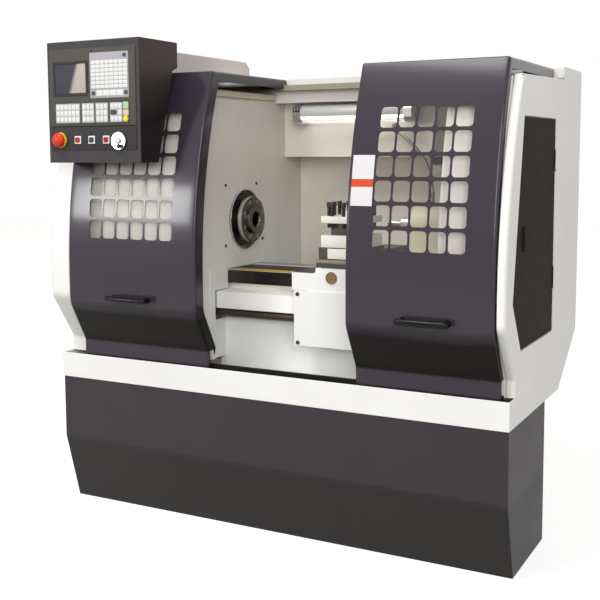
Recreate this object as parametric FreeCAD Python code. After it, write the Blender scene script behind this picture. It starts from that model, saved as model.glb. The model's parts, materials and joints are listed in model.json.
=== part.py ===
"""CNC turning lathe with two sliding doors, modelled in millimetres.

Frame: origin at the centre of the base cabinet's underside, +X along the spindle
from headstock to tailstock, +Y to the back of the machine, +Z up.
"""
import FreeCAD, Part
import math
import os
from FreeCAD import Vector

os.makedirs("parts", exist_ok=True)

# ---------------------------------------------------------------- driving sizes
# fits and running gaps
RUN = 0.05            # radial clearance of shafts and pins in their bores
SLIDE = 0.3           # gap between flat guides that slide on each other
PART_GAP = 0.3        # gap between a curved piece and the one it lies on
SHEET = 2.0           # thickness of the sheet metal covers
PLATE = 4.0           # thickness of the base cabinet's plate

# overall
LENGTH = 1700.0       # machine length over the tray
LEFT = -LENGTH / 2
RIGHT = LENGTH / 2
REAR_TOP = 1588.0     # height of the rear cover, over which the control box rises

# base cabinet
BASE_FRONT = -247.0
BASE_REAR = 179.0
BASE_TOE = 68.0       # how far the toe slopes back
BASE_BREAK = 250.0    # height of the break line
BASE_INSET = 2.0      # the cabinet stands in from the tray's ends

# chip tray
TRAY_FRONT = -250.0
TRAY_BOTTOM = 478.0
TRAY_TOP = 568.0
TRAY_FLOOR_REAR = 355.0
TRAY_RIM_REAR = 483.0
TRAY_WALL = 3.0

# fixed front profile of the end covers
COVER_FOOT_Y = -195.0
FOOT_TOP = 622.0
COVER_FACE_Y = -305.0
COVER_SLOPE = 168.0   # height of the slope under the upright face
COVER_UPRIGHT = 80.0  # height of the upright face under the bend
COVER_FACE_BOTTOM = FOOT_TOP + COVER_SLOPE
COVER_BEND = COVER_FACE_BOTTOM + COVER_UPRIGHT
COVER_RADIUS = 1550.0
COVER_TOP = REAR_TOP - 55.0
COVER_TOP_REAR = COVER_TOP + 12.0
LEFT_STRIP = 88.0     # width of the strip beside the left door
RIGHT_STRIP = 28.0    # width of the strip beside the right door
STRIP_RETURN = 60.0   # depth of the strips' inner returns

# doors
DOOR_FOOT_Y = -234.0
DOOR_BOTTOM = 563.0
DOOR_FACE_Y = -312.0
DOOR_SLOPE = 146.0
DOOR_UPRIGHT = 132.0
DOOR_FACE_BOTTOM = FOOT_TOP + DOOR_SLOPE
DOOR_BEND = DOOR_FACE_BOTTOM + DOOR_UPRIGHT
DOOR_RADIUS = 1850.0
DOOR_TOP = REAR_TOP - 5.0
DOOR_PLATE_REAR = 342.0
DOOR_FLANGE = 50.0    # depth of the flange beside the opening
DOOR_OUTER_FLANGE = 30.0
DOOR_ARM = 35.0       # height of the top plate's side flanges
DOOR_SIDE_GAP = 4.0   # gap between an open door and its strip
LEFT_DOOR_WIDTH = 545.0
RIGHT_DOOR_WIDTH = 476.0
OPENING_LEFT = LEFT + LEFT_STRIP + DOOR_SIDE_GAP + LEFT_DOOR_WIDTH
OPENING_RIGHT = RIGHT - RIGHT_STRIP - DOOR_SIDE_GAP - RIGHT_DOOR_WIDTH

# door windows
CELL_WIDTH = 54.0
CELL_HEIGHT = 63.0
CELL_BAR = 6.5
CELL_BAR_HEIGHT = 11.4
CELL_ROUND = 12.0
CELL_ROWS = 6
LEFT_COLUMNS = 6
RIGHT_COLUMNS = 5
WINDOW_BOTTOM = 1007.0
PANE = 3.0
PANE_LAP = 18.0       # how far the pane laps the sheet round the cells

# door handles
HANDLE_HEIGHT = 799.0
HANDLE_LENGTH = 152.0
HANDLE_RADIUS = 11.0
HANDLE_REACH = 32.0
HANDLE_POST = 12.0
HANDLE_POST_INSET = 4.0

# door rails and glide shoes
RAIL_THICK = 6.0
TOP_RAIL_Z = DOOR_TOP - 43.0
TOP_RAIL_HEIGHT = 22.0
TOP_RAIL_Y = 322.0
BOTTOM_RAIL_Y = -212.0
BOTTOM_RAIL_TOP = 577.0
SHOE_LENGTH = 60.0
SHOE_WALL = 6.0
RAIL_ROOM = 2.0       # gap between the top rail and what passes over it

# fixed front panels and inner walls
PANEL_STEP = 38.0     # how far the fixed panels lie behind the doors' faces
PANEL_LEFT_EDGE = RIGHT - 220.0
PANEL_RETURN = 70.0
WALL_X = LEFT + 575.0  # right face of the sheet between headstock and work area
WALL_SHEET = 3.0
ROOF_Z = COVER_TOP - 5.0

# rear covers
REAR_Y = 618.0
REAR_SLOPE_TOP = 654.0
REAR_CHAMFER_Y = 15.0
REAR_CHAMFER_Z = 10.0
REAR_SHEET = 2.5
BACK_WALL_Y = 575.0
BACK_WALL_BOTTOM = 640.0
BACK_WALL_TOP = REAR_TOP - 12.0
HOUSING_FRONT = 440.0
HOUSING_BOTTOM = REAR_TOP - 302.0
HOUSING_RIGHT = RIGHT - 493.0

# top beam
BEAM_FRONT = 350.0
BEAM_BOTTOM = REAR_TOP - 39.0
BEAM_TOP = REAR_TOP - 2.0
FASCIA_STEP = 6.0
FASCIA_BOTTOM = BEAM_BOTTOM - 54.0
BEAM_SHEET = 3.0
BEAM_REAR = HOUSING_FRONT + SHEET

# side access doors, as points of Y and Z from bottom front, anticlockwise
ACCESS_FRONT = -135.0
ACCESS_POINT_Y = -232.0
ACCESS_POINT_Z = 857.0
ACCESS_REAR = 259.0
ACCESS_BOTTOM = 703.0
ACCESS_TOP = 1408.0
ACCESS_RECESS = 12.0  # depth of the recess the door lies in
ACCESS_GAP = 3.0
ACCESS_THICK = 2.0
PULL_BOTTOM = 1004.0
PULL_TOP = 1077.0
PULL_PROUD = 3.0
HINGE_PIN = 3.0
HINGE_WALL = 2.0
HINGE_DEPTH = 5.5     # the pins lie this deep in the recess
HINGE_LENGTH = 60.0
HINGE_FOOT = 14.0     # height of the bracket under each knuckle
HINGE_HEIGHTS = (860.0, 1250.0)

# bed
BED_LEFT = LEFT + 135.0
BED_RIGHT = RIGHT - 100.0
BED_CENTRE = 122.0    # the spindle axis lies over it
WAY_TOP = 882.0
WAY_HEIGHT = 50.0
WAY_WIDTH = 51.0
BED_HALF = 131.0
BED_WEB = 20.0
BED_SETBACK = 22.0    # the bed's walls stand in from the ways
BED_FOOT_LENGTH = 110.0
BED_FOOT_PROUD = 20.0
BED_FOOT_TOP = WAY_TOP - 172.0
BED_MIDDLE_FOOT = WALL_X - 18.0
BED_CLEARANCE = 24.0  # gap between the tray's floor and the walls between the feet
BED_LEDGE = TRAY_BOTTOM + TRAY_WALL + BED_CLEARANCE

# spindle line
CENTRE_HEIGHT = 175.0  # height of the spindle's axis over the ways
SPINDLE_Z = WAY_TOP + CENTRE_HEIGHT
NOSE_FACE = WALL_X + 38.0
NOSE_RADIUS = 85.0
NOSE_THICK = 20.0
SPIGOT_RADIUS = 53.0
SPIGOT_LENGTH = 12.0
NECK_RADIUS = 62.0
FRONT_SEAT = 50.0
REAR_SEAT = 45.0
SPINDLE_BORE = 26.0
WALL_HOLE = 110.0
WALL_SCREWS = ((-12.0, 1187.0), (207.0, 1188.0), (-16.0, 967.0), (251.0, 974.0))
CAP_RADIUS = 99.0
CAP_THICK = 16.0

# headstock casting
HEAD_LEFT = LEFT + 150.0
HEAD_RIGHT = WALL_X - 25.0
HEAD_FRONT = BED_CENTRE - 122.0
HEAD_REAR = BED_CENTRE + 123.0
HEAD_TOP = SPINDLE_Z + 138.0
HEAD_WALL = 24.0
FRONT_BOSS = 60.0
REAR_BOSS = 50.0
FRONT_BEARING = 72.0  # outer radius
REAR_BEARING = 62.0

# belt drive
PULLEY_RADIUS = 80.0
PULLEY_WIDTH = 56.0
PULLEY_RIGHT = HEAD_LEFT - 28.0
BELT_THICK = 10.0
BELT_WIDTH = 44.0
MOTOR_PULLEY_RADIUS = 54.0
MOTOR_Z = 300.0
MOTOR_Y = BED_CENTRE - 62.0
MOTOR_RADIUS = 105.0
MOTOR_LENGTH = 300.0
MOTOR_LEFT = HEAD_LEFT + 10.0
MOTOR_RIGHT = MOTOR_LEFT + MOTOR_LENGTH
MOTOR_SHAFT = 19.0

# carriage
SADDLE_LEFT = 55.0
SADDLE_LENGTH = 285.0
SADDLE_RIGHT = SADDLE_LEFT + SADDLE_LENGTH
SADDLE_FRONT = BED_CENTRE - 244.0
SADDLE_REAR = BED_CENTRE + 168.0
SADDLE_TOP = WAY_TOP + 34.0
SADDLE_STEP_X = SADDLE_LEFT + 102.0
SADDLE_STEP_Z = WAY_TOP + 18.0
APRON_TOP = WAY_TOP - 41.0
APRON_HEIGHT = 190.0
APRON_BOTTOM = APRON_TOP - APRON_HEIGHT
APRON_SHEET = 3.0
APRON_RETURN = 24.0
APRON_INSET = 9.0     # the cover starts this far right of the saddle's left side
APRON_PLATE = 22.0    # casting that hangs behind the apron cover
OIL_CAP_RADIUS = 20.5

# Z drive
Z_SCREW_Y = BED_CENTRE - 184.0
Z_SCREW_Z = WAY_TOP - 146.0
Z_SCREW_RADIUS = 16.0
Z_SCREW_RIGHT = BED_RIGHT + 10.0
Z_NUT_RADIUS = 25.0
Z_NUT_LENGTH = 70.0
SCREW_COVER_TOP = WAY_TOP - 70.0
SCREW_COVER_HEIGHT = 60.0
SCREW_COVER_BOTTOM = SCREW_COVER_TOP - SCREW_COVER_HEIGHT
SCREW_COVER_FRONT = Z_SCREW_Y - 31.0
BED_SILL_DEPTH = 91.0  # sheet before the bed's feet, measured from the saddle's front
BED_SILL_BOTTOM = BED_FOOT_TOP - 187.0
BED_SILL_TOP = BED_FOOT_TOP + SHEET
Z_MOTOR_SIDE = 110.0
Z_MOTOR_LENGTH = 52.0
Z_BLOCK = 40.0
Z_BLOCK_HALF = 26.0

# cross slide and X drive
CROSS_LEFT = SADDLE_LEFT + 76.0
CROSS_RIGHT = SADDLE_RIGHT - 34.0
CROSS_FRONT = BED_CENTRE - 214.0
CROSS_REAR = BED_CENTRE + 28.0
CROSS_HEIGHT = 27.5
CROSS_TOP = SADDLE_TOP + CROSS_HEIGHT
X_SCREW_X = SADDLE_LEFT + 149.0
X_SCREW_Z = WAY_TOP + 15.0
X_SCREW_RADIUS = 9.0
X_BORE = 12.0
X_NUT_SIDE = 26.0
X_NUT_LENGTH = 50.0
X_NUT_FRONT = BED_CENTRE - 52.0
X_END_WALL = 6.0      # closed wall before the screw's front end
X_END_BEARING = 20.0
X_MOTOR_BORE = 20.0
CROSS_TRAVEL = 130.0
CROSS_BACK = 5.0
X_MOTOR_SIDE = 90.0
X_MOTOR_LENGTH = 150.0

# tool post
POST_CENTRE_X = CROSS_LEFT + 87.0
POST_CENTRE_Y = BED_CENTRE - 112.0
POST_SIDE = 160.0
POST_BASE_SIDE = 172.0
POST_BASE_HEIGHT = 40.0
POST_BASE_TOP = CROSS_TOP + POST_BASE_HEIGHT
SLOT_HEIGHT = 41.5
SLOT_BOTTOM = POST_BASE_TOP + 41.0
SLOT_TOP = SLOT_BOTTOM + SLOT_HEIGHT
SLOT_DEPTH = 26.0
POST_TOP = SLOT_TOP + 23.0
POST_PIVOT = 18.0
PIVOT_TOP = POST_TOP - 11.0
BOLT_TOP = POST_TOP + 47.0
BOLT_RADIUS = 6.0
BOLT_HEAD = 13.0
BOLT_HEAD_HEIGHT = 16.0
BOLT_TIP = SLOT_TOP - 17.0
BOLT_PITCH = 42.0
BOLT_INSET = 14.0

# tailstock
TAIL_LEFT = SADDLE_RIGHT + 70.0
TAIL_LENGTH = 190.0
TAIL_RIGHT = TAIL_LEFT + TAIL_LENGTH
TAIL_BASE_TOP = WAY_TOP + 68.0
TAIL_BASE_FRONT = BED_CENTRE - BED_HALF
TAIL_BASE_REAR = BED_CENTRE + BED_HALF
TAIL_NECK = 62.0      # half width of the neck under the barrel
BARREL_RADIUS = 56.0
TAIL_CAP = 16.0       # thickness of the cap on the barrel's rear end
QUILL_RADIUS = 25.0
QUILL_LEFT = TAIL_LEFT - 50.0
QUILL_RIGHT = TAIL_RIGHT - 10.0
CENTRE_RADIUS = 11.0
CENTRE_LENGTH = 60.0
CENTRE_SOCKET = 70.0
CENTRE_POINT = 20.0
WHEEL_RADIUS = 80.0
WHEEL_RIM = 9.0
WHEEL_HUB = 22.0
WHEEL_X = TAIL_RIGHT + TAIL_CAP + 20.0
WHEEL_SHAFT = 10.0
SCREW_BORE = 120.0    # depth of the bore in the quill's rear end
WHEEL_GRIP = 8.0
WHEEL_GRIP_LENGTH = 60.0

# work lamp
LAMP_LEFT = WALL_X + 79.0
LAMP_RIGHT = HOUSING_RIGHT - 59.0
LAMP_Y = HOUSING_FRONT - 48.0
LAMP_Z = FASCIA_BOTTOM - 43.0
LAMP_RADIUS = 39.0
LAMP_WALL = 3.0
LAMP_CAP = 34.0
LAMP_CAP_WALL = 3.0

# coolant pipe: points of its route, in X, Y and Z, and its radius
PIPE_RADIUS = 6.0
PIPE_ROUTE = (
    (205.0, 439.7, 1398.0),
    (205.0, 405.0, 1398.0),
    (250.0, 392.0, 1366.0),
    (306.0, 388.0, 1318.0),
    (348.0, 385.0, 1262.0),
    (368.0, 382.0, 1196.0),
    (374.0, 380.0, 1136.0),
)
NOZZLE_LENGTH = 46.0
NOZZLE_RADIUS = 9.0
GLAND_RADIUS = 14.0
GLAND_LENGTH = 14.0

# control box
BOX_WIDTH = 393.0
BOX_LEFT = LEFT + 87.0
BOX_RIGHT = BOX_LEFT + BOX_WIDTH
BOX_FRONT = -385.0
BOX_HEIGHT = 413.0
BOX_TOP = REAR_TOP + 98.0
BOX_BOTTOM = BOX_TOP - BOX_HEIGHT
BOX_REAR = -165.0
BOX_LOWER_REAR = -286.0
BOX_SHOULDER_Y = -194.0
BOX_SHOULDER_LOW = REAR_TOP
BOX_SHOULDER_HIGH = REAR_TOP + 12.0
BOX_SHEET = 2.0
PANEL_LEFT = BOX_LEFT + 11.0
PANEL_RIGHT = BOX_RIGHT - 15.0
PANEL_BOTTOM = BOX_BOTTOM + 44.0
PANEL_SPLIT = PANEL_BOTTOM + 80.0
PANEL_TOP = BOX_TOP - 26.0
PANEL_THICK = 3.0

# items on the panel, as X of the centre, Z of the centre, width, height
SCREEN = (BOX_LEFT + 103.0, PANEL_TOP - 100.0, 136.0, 102.0)
KEYPAD = (BOX_LEFT + 270.0, PANEL_TOP - 93.0, 162.0, 152.0)
STRIP = (BOX_LEFT + 191.5, PANEL_SPLIT + 47.0, 315.0, 72.0)
KEYPAD_THICK = 1.5
KEY_SINK = 0.5        # the main keypad is let into the plate
SCREEN_DEPTH = 30.0
BUTTON_Z = PANEL_SPLIT - 46.0
STOP_X = BOX_LEFT + 54.0
STOP_RADIUS = 24.5
STOP_STEM = 11.0
STOP_HEIGHT = 26.0
STOP_TRAVEL = 5.0
STOP_RING = 26.5
BUTTON_XS = {
    "stop_button": BOX_LEFT + 130.5,
    "start_button": BOX_LEFT + 190.5,
    "hold_button": BOX_LEFT + 253.0,
}
BUTTON_SIDE = 17.0
BEZEL_SIDE = 27.0
BEZEL_PROUD = 3.0
BUTTON_PROUD = 7.0
BUTTON_TRAVEL = 3.0
BUTTON_DEPTH = 16.0
DIAL_X = BOX_LEFT + 307.0
DIAL_Z = PANEL_SPLIT - 51.0
DIAL_RADIUS = 33.0
DIAL_THICK = 6.0
DIAL_RING = 34.5
DIAL_STEM = 8.0
DIAL_KNOB = 7.0
DIAL_KNOB_LENGTH = 16.0

# housing that carries the control box
CARRIER_LEFT = BOX_LEFT + 13.0
CARRIER_WIDTH = 212.0
CARRIER_RIGHT = CARRIER_LEFT + CARRIER_WIDTH
CARRIER_TOP = BOX_TOP - 3.0
CARRIER_REAR = 612.0
CARRIER_CHAMFER_Y = 32.0
CARRIER_CHAMFER_Z = 23.0


# ---------------------------------------------------------------- helpers
def block(x0, x1, y0, y1, z0, z1):
    """Return a box between two corners."""
    return Part.makeBox(x1 - x0, y1 - y0, z1 - z0, Vector(x0, y0, z0))


def rod(axis, centre, radius, length):
    """Return a cylinder that starts at centre and runs along +axis."""
    directions = {"x": Vector(1, 0, 0), "y": Vector(0, 1, 0), "z": Vector(0, 0, 1)}
    return Part.makeCylinder(radius, length, Vector(*centre), directions[axis])


def ring(axis, centre, outer, inner, length):
    """Return a tube that starts at centre and runs along +axis."""
    return rod(axis, centre, outer, length).cut(rod(axis, centre, inner, length))


def prism_x(points, x0, x1):
    """Return a prism along X over a polygon of (Y, Z) points."""
    corners = [Vector(x0, y, z) for y, z in points]
    face = Part.Face(Part.makePolygon(corners + corners[:1]))
    return face.extrude(Vector(x1 - x0, 0, 0))


def prism_z(points, z0, z1):
    """Return a prism along Z over a polygon of (X, Y) points."""
    corners = [Vector(x, y, z0) for x, y in points]
    face = Part.Face(Part.makePolygon(corners + corners[:1]))
    return face.extrude(Vector(0, 0, z1 - z0))


def turned(profile, start_x, centre_y, centre_z):
    """Return a body turned about an X axis from (length, radius) steps."""
    body = None
    x = start_x
    for length, radius in profile:
        step = rod("x", (x, centre_y, centre_z), radius, length)
        body = step if body is None else body.fuse(step)
        x += length
    return body.removeSplitter()


def fused(shapes):
    """Return the shapes joined into one solid."""
    first, rest = shapes[0], shapes[1:]
    return first.fuse(rest).removeSplitter() if rest else first


def save(shape, node):
    """Write one node and print how many solids it has."""
    shape.exportStep(f"parts/{node}.step")
    print(f"{node:24s} solids {len(shape.Solids)} volume {shape.Volume / 1e6:9.4f} dm3", shape.isValid())


class Lean:
    """A front profile in Y and Z: a foot, a slope, an upright face and an arc that leans back."""

    def __init__(self, foot_y, face_y, face_bottom, bend, radius):
        self.foot_y = foot_y
        self.face_y = face_y
        self.face_bottom = face_bottom
        self.bend = bend
        self.radius = radius

    def y(self, z):
        """Return the profile's Y at a height."""
        if z <= FOOT_TOP:
            return self.foot_y
        if z <= self.face_bottom:
            share = (z - FOOT_TOP) / (self.face_bottom - FOOT_TOP)
            return self.foot_y + share * (self.face_y - self.foot_y)
        if z <= self.bend:
            return self.face_y
        return self.face_y + self.radius - math.sqrt(self.radius ** 2 - (z - self.bend) ** 2)

    def edges(self, x, z0, z1, dy):
        """Return the profile's edges from z0 to z1, shifted back by dy."""
        knots = [z0] + [k for k in (FOOT_TOP, self.face_bottom, self.bend) if z0 < k < z1] + [z1]
        found = []
        for low, high in zip(knots, knots[1:]):
            start = Vector(x, self.y(low) + dy, low)
            end = Vector(x, self.y(high) + dy, high)
            if low >= self.bend:
                middle = (low + high) / 2
                through = Vector(x, self.y(middle) + dy, middle)
                found.append(Part.Arc(start, through, end).toShape())
            else:
                found.append(Part.LineSegment(start, end).toShape())
        return found

    def sheet(self, x0, x1, z0, z1, dy0, dy1):
        """Return the solid between the profile shifted by dy0 and by dy1."""
        edges = self.edges(x0, z0, z1, dy0) + self.edges(x0, z0, z1, dy1)
        for z in (z0, z1):
            y = self.y(z)
            edges.append(Part.LineSegment(Vector(x0, y + dy0, z), Vector(x0, y + dy1, z)).toShape())
        face = Part.Face(Part.Wire(Part.__sortEdges__(edges)))
        return face.extrude(Vector(x1 - x0, 0, 0))


cover_profile = Lean(COVER_FOOT_Y, COVER_FACE_Y, COVER_FACE_BOTTOM, COVER_BEND, COVER_RADIUS)
door_profile = Lean(DOOR_FOOT_Y, DOOR_FACE_Y, DOOR_FACE_BOTTOM, DOOR_BEND, DOOR_RADIUS)

left_door_left = LEFT + LEFT_STRIP + DOOR_SIDE_GAP
left_door_right = OPENING_LEFT
right_door_left = OPENING_RIGHT
right_door_right = RIGHT - RIGHT_STRIP - DOOR_SIDE_GAP
head_wall_left = WALL_X - WALL_SHEET
tray_floor_top = TRAY_BOTTOM + TRAY_WALL
belt_slot = (PULLEY_RIGHT - PULLEY_WIDTH - 14.0, PULLEY_RIGHT + 10.0, MOTOR_Y - 80.0, BED_CENTRE + 100.0)


# ---------------------------------------------------------------- base and tray
def base_cabinet():
    """Closed cabinet of plate with a sloping toe and a slot for the belt."""
    def outline(t):
        toe_y = BASE_FRONT + BASE_TOE
        return [
            (BASE_FRONT + t, BASE_BREAK), (BASE_FRONT + t, TRAY_BOTTOM - t),
            (BASE_REAR - t, TRAY_BOTTOM - t), (BASE_REAR - t, t), (toe_y + t, t),
        ]
    x0, x1 = LEFT + BASE_INSET, RIGHT - BASE_INSET
    shell = prism_x(outline(0), x0, x1).cut(prism_x(outline(PLATE), x0 + PLATE, x1 - PLATE))
    slot_left, slot_right, slot_front, slot_rear = belt_slot
    slot = block(slot_left, slot_right, slot_front, slot_rear, TRAY_BOTTOM - 2 * PLATE, TRAY_BOTTOM + 1)
    return shell.cut(slot)


def chip_tray():
    """Open pan with an upright front rim and a rear wall that slopes up."""
    def outline(t, top):
        slope = (TRAY_RIM_REAR - TRAY_FLOOR_REAR) / (TRAY_TOP - TRAY_BOTTOM)
        rear_top = TRAY_RIM_REAR - t + slope * (top - TRAY_TOP)
        return [
            (TRAY_FRONT + t, TRAY_BOTTOM + t), (TRAY_FRONT + t, top), (rear_top, top),
            (TRAY_FLOOR_REAR - t + slope * t, TRAY_BOTTOM + t),
        ]
    pan = prism_x(outline(0, TRAY_TOP), LEFT, RIGHT)
    pan = pan.cut(prism_x(outline(TRAY_WALL, TRAY_TOP + 10), LEFT + TRAY_WALL, RIGHT - TRAY_WALL))
    slot_left, slot_right, slot_front, slot_rear = belt_slot
    return pan.cut(block(slot_left, slot_right, slot_front, slot_rear, TRAY_BOTTOM - 1, tray_floor_top + 1))


# ---------------------------------------------------------------- bed and headstock
def bed():
    """Cast bed: two flat ways on a pair of webs, cross ribs and two feet."""
    front, rear = BED_CENTRE - BED_HALF, BED_CENTRE + BED_HALF
    wall_front, wall_rear = front + BED_SETBACK, rear - BED_SETBACK
    under_way = WAY_TOP - WAY_HEIGHT
    pieces = [
        block(BED_LEFT, BED_RIGHT, front, front + WAY_WIDTH, under_way, WAY_TOP),
        block(BED_LEFT, BED_RIGHT, rear - WAY_WIDTH, rear, under_way, WAY_TOP),
        block(BED_LEFT, BED_RIGHT, wall_front, wall_front + BED_WEB, BED_LEDGE, under_way),
        block(BED_LEFT, BED_RIGHT, wall_rear - BED_WEB, wall_rear, BED_LEDGE, under_way),
    ]
    ribs = 7
    span = BED_RIGHT - BED_LEFT - BED_WEB
    for index in range(ribs):
        x = BED_LEFT + span * index / (ribs - 1)
        pieces.append(block(x, x + BED_WEB, wall_front, wall_rear, BED_LEDGE, WAY_TOP - WAY_HEIGHT))
    foot_front = front - BED_FOOT_PROUD
    for x in (BED_LEFT, BED_MIDDLE_FOOT, BED_RIGHT - BED_FOOT_LENGTH):
        pieces.append(block(x, x + BED_FOOT_LENGTH, foot_front, wall_rear, tray_floor_top, BED_FOOT_TOP))
    return fused(pieces)


def headstock_casting():
    """Closed box casting on the ways with bosses for the two bearings."""
    top_round = 20.0
    outer = block(HEAD_LEFT, HEAD_RIGHT, HEAD_FRONT, HEAD_REAR, WAY_TOP, HEAD_TOP)
    edges = [e for e in outer.Edges if e.BoundBox.ZMin > HEAD_TOP - 1 and e.BoundBox.XLength > 1]
    outer = outer.makeFillet(top_round, edges)
    inner = block(HEAD_LEFT + HEAD_WALL, HEAD_RIGHT - HEAD_WALL, HEAD_FRONT + HEAD_WALL,
                  HEAD_REAR - HEAD_WALL, WAY_TOP + HEAD_WALL, HEAD_TOP - HEAD_WALL)
    body = outer.cut(inner)
    front_boss = rod("x", (HEAD_RIGHT - FRONT_BOSS, BED_CENTRE, SPINDLE_Z), FRONT_BEARING + 16, FRONT_BOSS)
    rear_boss = rod("x", (HEAD_LEFT, BED_CENTRE, SPINDLE_Z), REAR_BEARING + 16, REAR_BOSS)
    body = body.fuse([front_boss, rear_boss])
    body = body.cut(rod("x", (HEAD_RIGHT - FRONT_BOSS, BED_CENTRE, SPINDLE_Z), FRONT_BEARING, FRONT_BOSS))
    return body.cut(rod("x", (HEAD_LEFT, BED_CENTRE, SPINDLE_Z), REAR_BEARING, REAR_BOSS)).removeSplitter()


def spindle():
    """Hollow spindle with a flanged nose and a short locating spigot."""
    rear_end = PULLEY_RIGHT - PULLEY_WIDTH
    nose_back = NOSE_FACE - NOSE_THICK
    steps = [
        (HEAD_LEFT - rear_end, REAR_SEAT - 4),
        (REAR_BOSS, REAR_SEAT),
        (HEAD_RIGHT - FRONT_BOSS - HEAD_LEFT - REAR_BOSS, REAR_SEAT + 2),
        (FRONT_BOSS, FRONT_SEAT),
        (nose_back - HEAD_RIGHT, NECK_RADIUS),
        (NOSE_THICK, NOSE_RADIUS),
        (SPIGOT_LENGTH, SPIGOT_RADIUS),
    ]
    body = turned(steps, rear_end, BED_CENTRE, SPINDLE_Z)
    length = NOSE_FACE + SPIGOT_LENGTH - rear_end
    body = body.cut(rod("x", (rear_end, BED_CENTRE, SPINDLE_Z), SPINDLE_BORE, length))
    stud_circle = (NOSE_RADIUS + SPIGOT_RADIUS) / 2
    holes = []
    for index in range(4):
        angle = math.radians(45 + 90 * index)
        y = BED_CENTRE + stud_circle * math.cos(angle)
        z = SPINDLE_Z + stud_circle * math.sin(angle)
        holes.append(rod("x", (nose_back - 1, y, z), 7.0, NOSE_THICK + 2))
    return body.cut(holes)


def spindle_bearings():
    """Front and rear bearings as two rings pressed into their bosses."""
    front = ring("x", (HEAD_RIGHT - FRONT_BOSS + 6, BED_CENTRE, SPINDLE_Z), FRONT_BEARING, FRONT_SEAT + RUN,
                 FRONT_BOSS - 12)
    rear = ring("x", (HEAD_LEFT + 6, BED_CENTRE, SPINDLE_Z), REAR_BEARING, REAR_SEAT + RUN, REAR_BOSS - 12)
    return Part.makeCompound([front, rear])


def bearing_cap():
    """Ring bolted to the headstock's face round the spindle's neck, with its bolt heads."""
    cap = ring("x", (HEAD_RIGHT, BED_CENTRE, SPINDLE_Z), CAP_RADIUS, NECK_RADIUS + 1.0, CAP_THICK)
    bolts = []
    for index in range(6):
        angle = math.radians(60 * index)
        y = BED_CENTRE + (CAP_RADIUS - 11) * math.cos(angle)
        z = SPINDLE_Z + (CAP_RADIUS - 11) * math.sin(angle)
        bolts.append(rod("x", (HEAD_RIGHT + CAP_THICK, y, z), 6.0, 5.0))
    return fused([cap] + bolts)


def spindle_pulley():
    """Grooved pulley on the spindle's rear end."""
    left = PULLEY_RIGHT - PULLEY_WIDTH
    body = ring("x", (left, BED_CENTRE, SPINDLE_Z), PULLEY_RADIUS, REAR_SEAT - 4, PULLEY_WIDTH)
    flanges = [ring("x", (x, BED_CENTRE, SPINDLE_Z), PULLEY_RADIUS + 8, PULLEY_RADIUS - 1, 5.0)
               for x in (left, PULLEY_RIGHT - 5.0)]
    return fused([body] + flanges)


def motor_pulley():
    """Small pulley with the motor shaft it turns with."""
    left = PULLEY_RIGHT - PULLEY_WIDTH
    body = rod("x", (left, MOTOR_Y, MOTOR_Z), MOTOR_PULLEY_RADIUS, PULLEY_WIDTH)
    flanges = [ring("x", (x, MOTOR_Y, MOTOR_Z), MOTOR_PULLEY_RADIUS + 8, MOTOR_PULLEY_RADIUS - 1, 5.0)
               for x in (left, PULLEY_RIGHT - 5.0)]
    shaft = rod("x", (PULLEY_RIGHT, MOTOR_Y, MOTOR_Z), MOTOR_SHAFT, MOTOR_LEFT - PULLEY_RIGHT + 60.0)
    return fused([body, shaft] + flanges)


def belt_band(extra):
    """Return the closed area round both pulleys, grown by extra, as a solid of the belt's width."""
    x = PULLEY_RIGHT - PULLEY_WIDTH / 2 - BELT_WIDTH / 2
    big, small = PULLEY_RADIUS + extra, MOTOR_PULLEY_RADIUS + extra
    dy, dz = MOTOR_Y - BED_CENTRE, MOTOR_Z - SPINDLE_Z
    distance = math.hypot(dy, dz)
    heading = math.atan2(dz, dy)
    lean = math.acos((big - small) / distance)
    corners = []
    for centre, radius in (((BED_CENTRE, SPINDLE_Z), big), ((MOTOR_Y, MOTOR_Z), small)):
        for side in (1, -1):
            angle = heading + side * lean
            corners.append((centre[0] + radius * math.cos(angle), centre[1] + radius * math.sin(angle)))
    quad = [corners[0], corners[2], corners[3], corners[1]]
    band = prism_x(quad, x, x + BELT_WIDTH)
    big_disc = rod("x", (x, BED_CENTRE, SPINDLE_Z), big, BELT_WIDTH)
    small_disc = rod("x", (x, MOTOR_Y, MOTOR_Z), small, BELT_WIDTH)
    return band.fuse([big_disc, small_disc])


def drive_belt():
    """Belt loop that runs round the two pulleys."""
    return belt_band(PART_GAP + BELT_THICK).cut(belt_band(PART_GAP)).removeSplitter()


def main_motor():
    """Foot-mounted main motor with a bore at its shaft end."""
    body = rod("x", (MOTOR_LEFT, MOTOR_Y, MOTOR_Z), MOTOR_RADIUS, MOTOR_RIGHT - MOTOR_LEFT)
    fan_cover = rod("x", (MOTOR_RIGHT, MOTOR_Y, MOTOR_Z), MOTOR_RADIUS - 8, 50.0)
    under = MOTOR_Z - MOTOR_RADIUS
    over = MOTOR_Z + MOTOR_RADIUS
    feet = block(MOTOR_LEFT + 40, MOTOR_RIGHT - 40, MOTOR_Y - 90, MOTOR_Y + 90, PLATE, under + 30)
    terminal_box = block(MOTOR_LEFT + 100, MOTOR_LEFT + 200, MOTOR_Y - 45, MOTOR_Y + 45, over - 10,
                         over + 40)
    bore = rod("x", (MOTOR_LEFT, MOTOR_Y, MOTOR_Z), MOTOR_SHAFT + RUN, 60.5)
    return fused([body, fan_cover, feet, terminal_box]).cut(bore)


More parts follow.
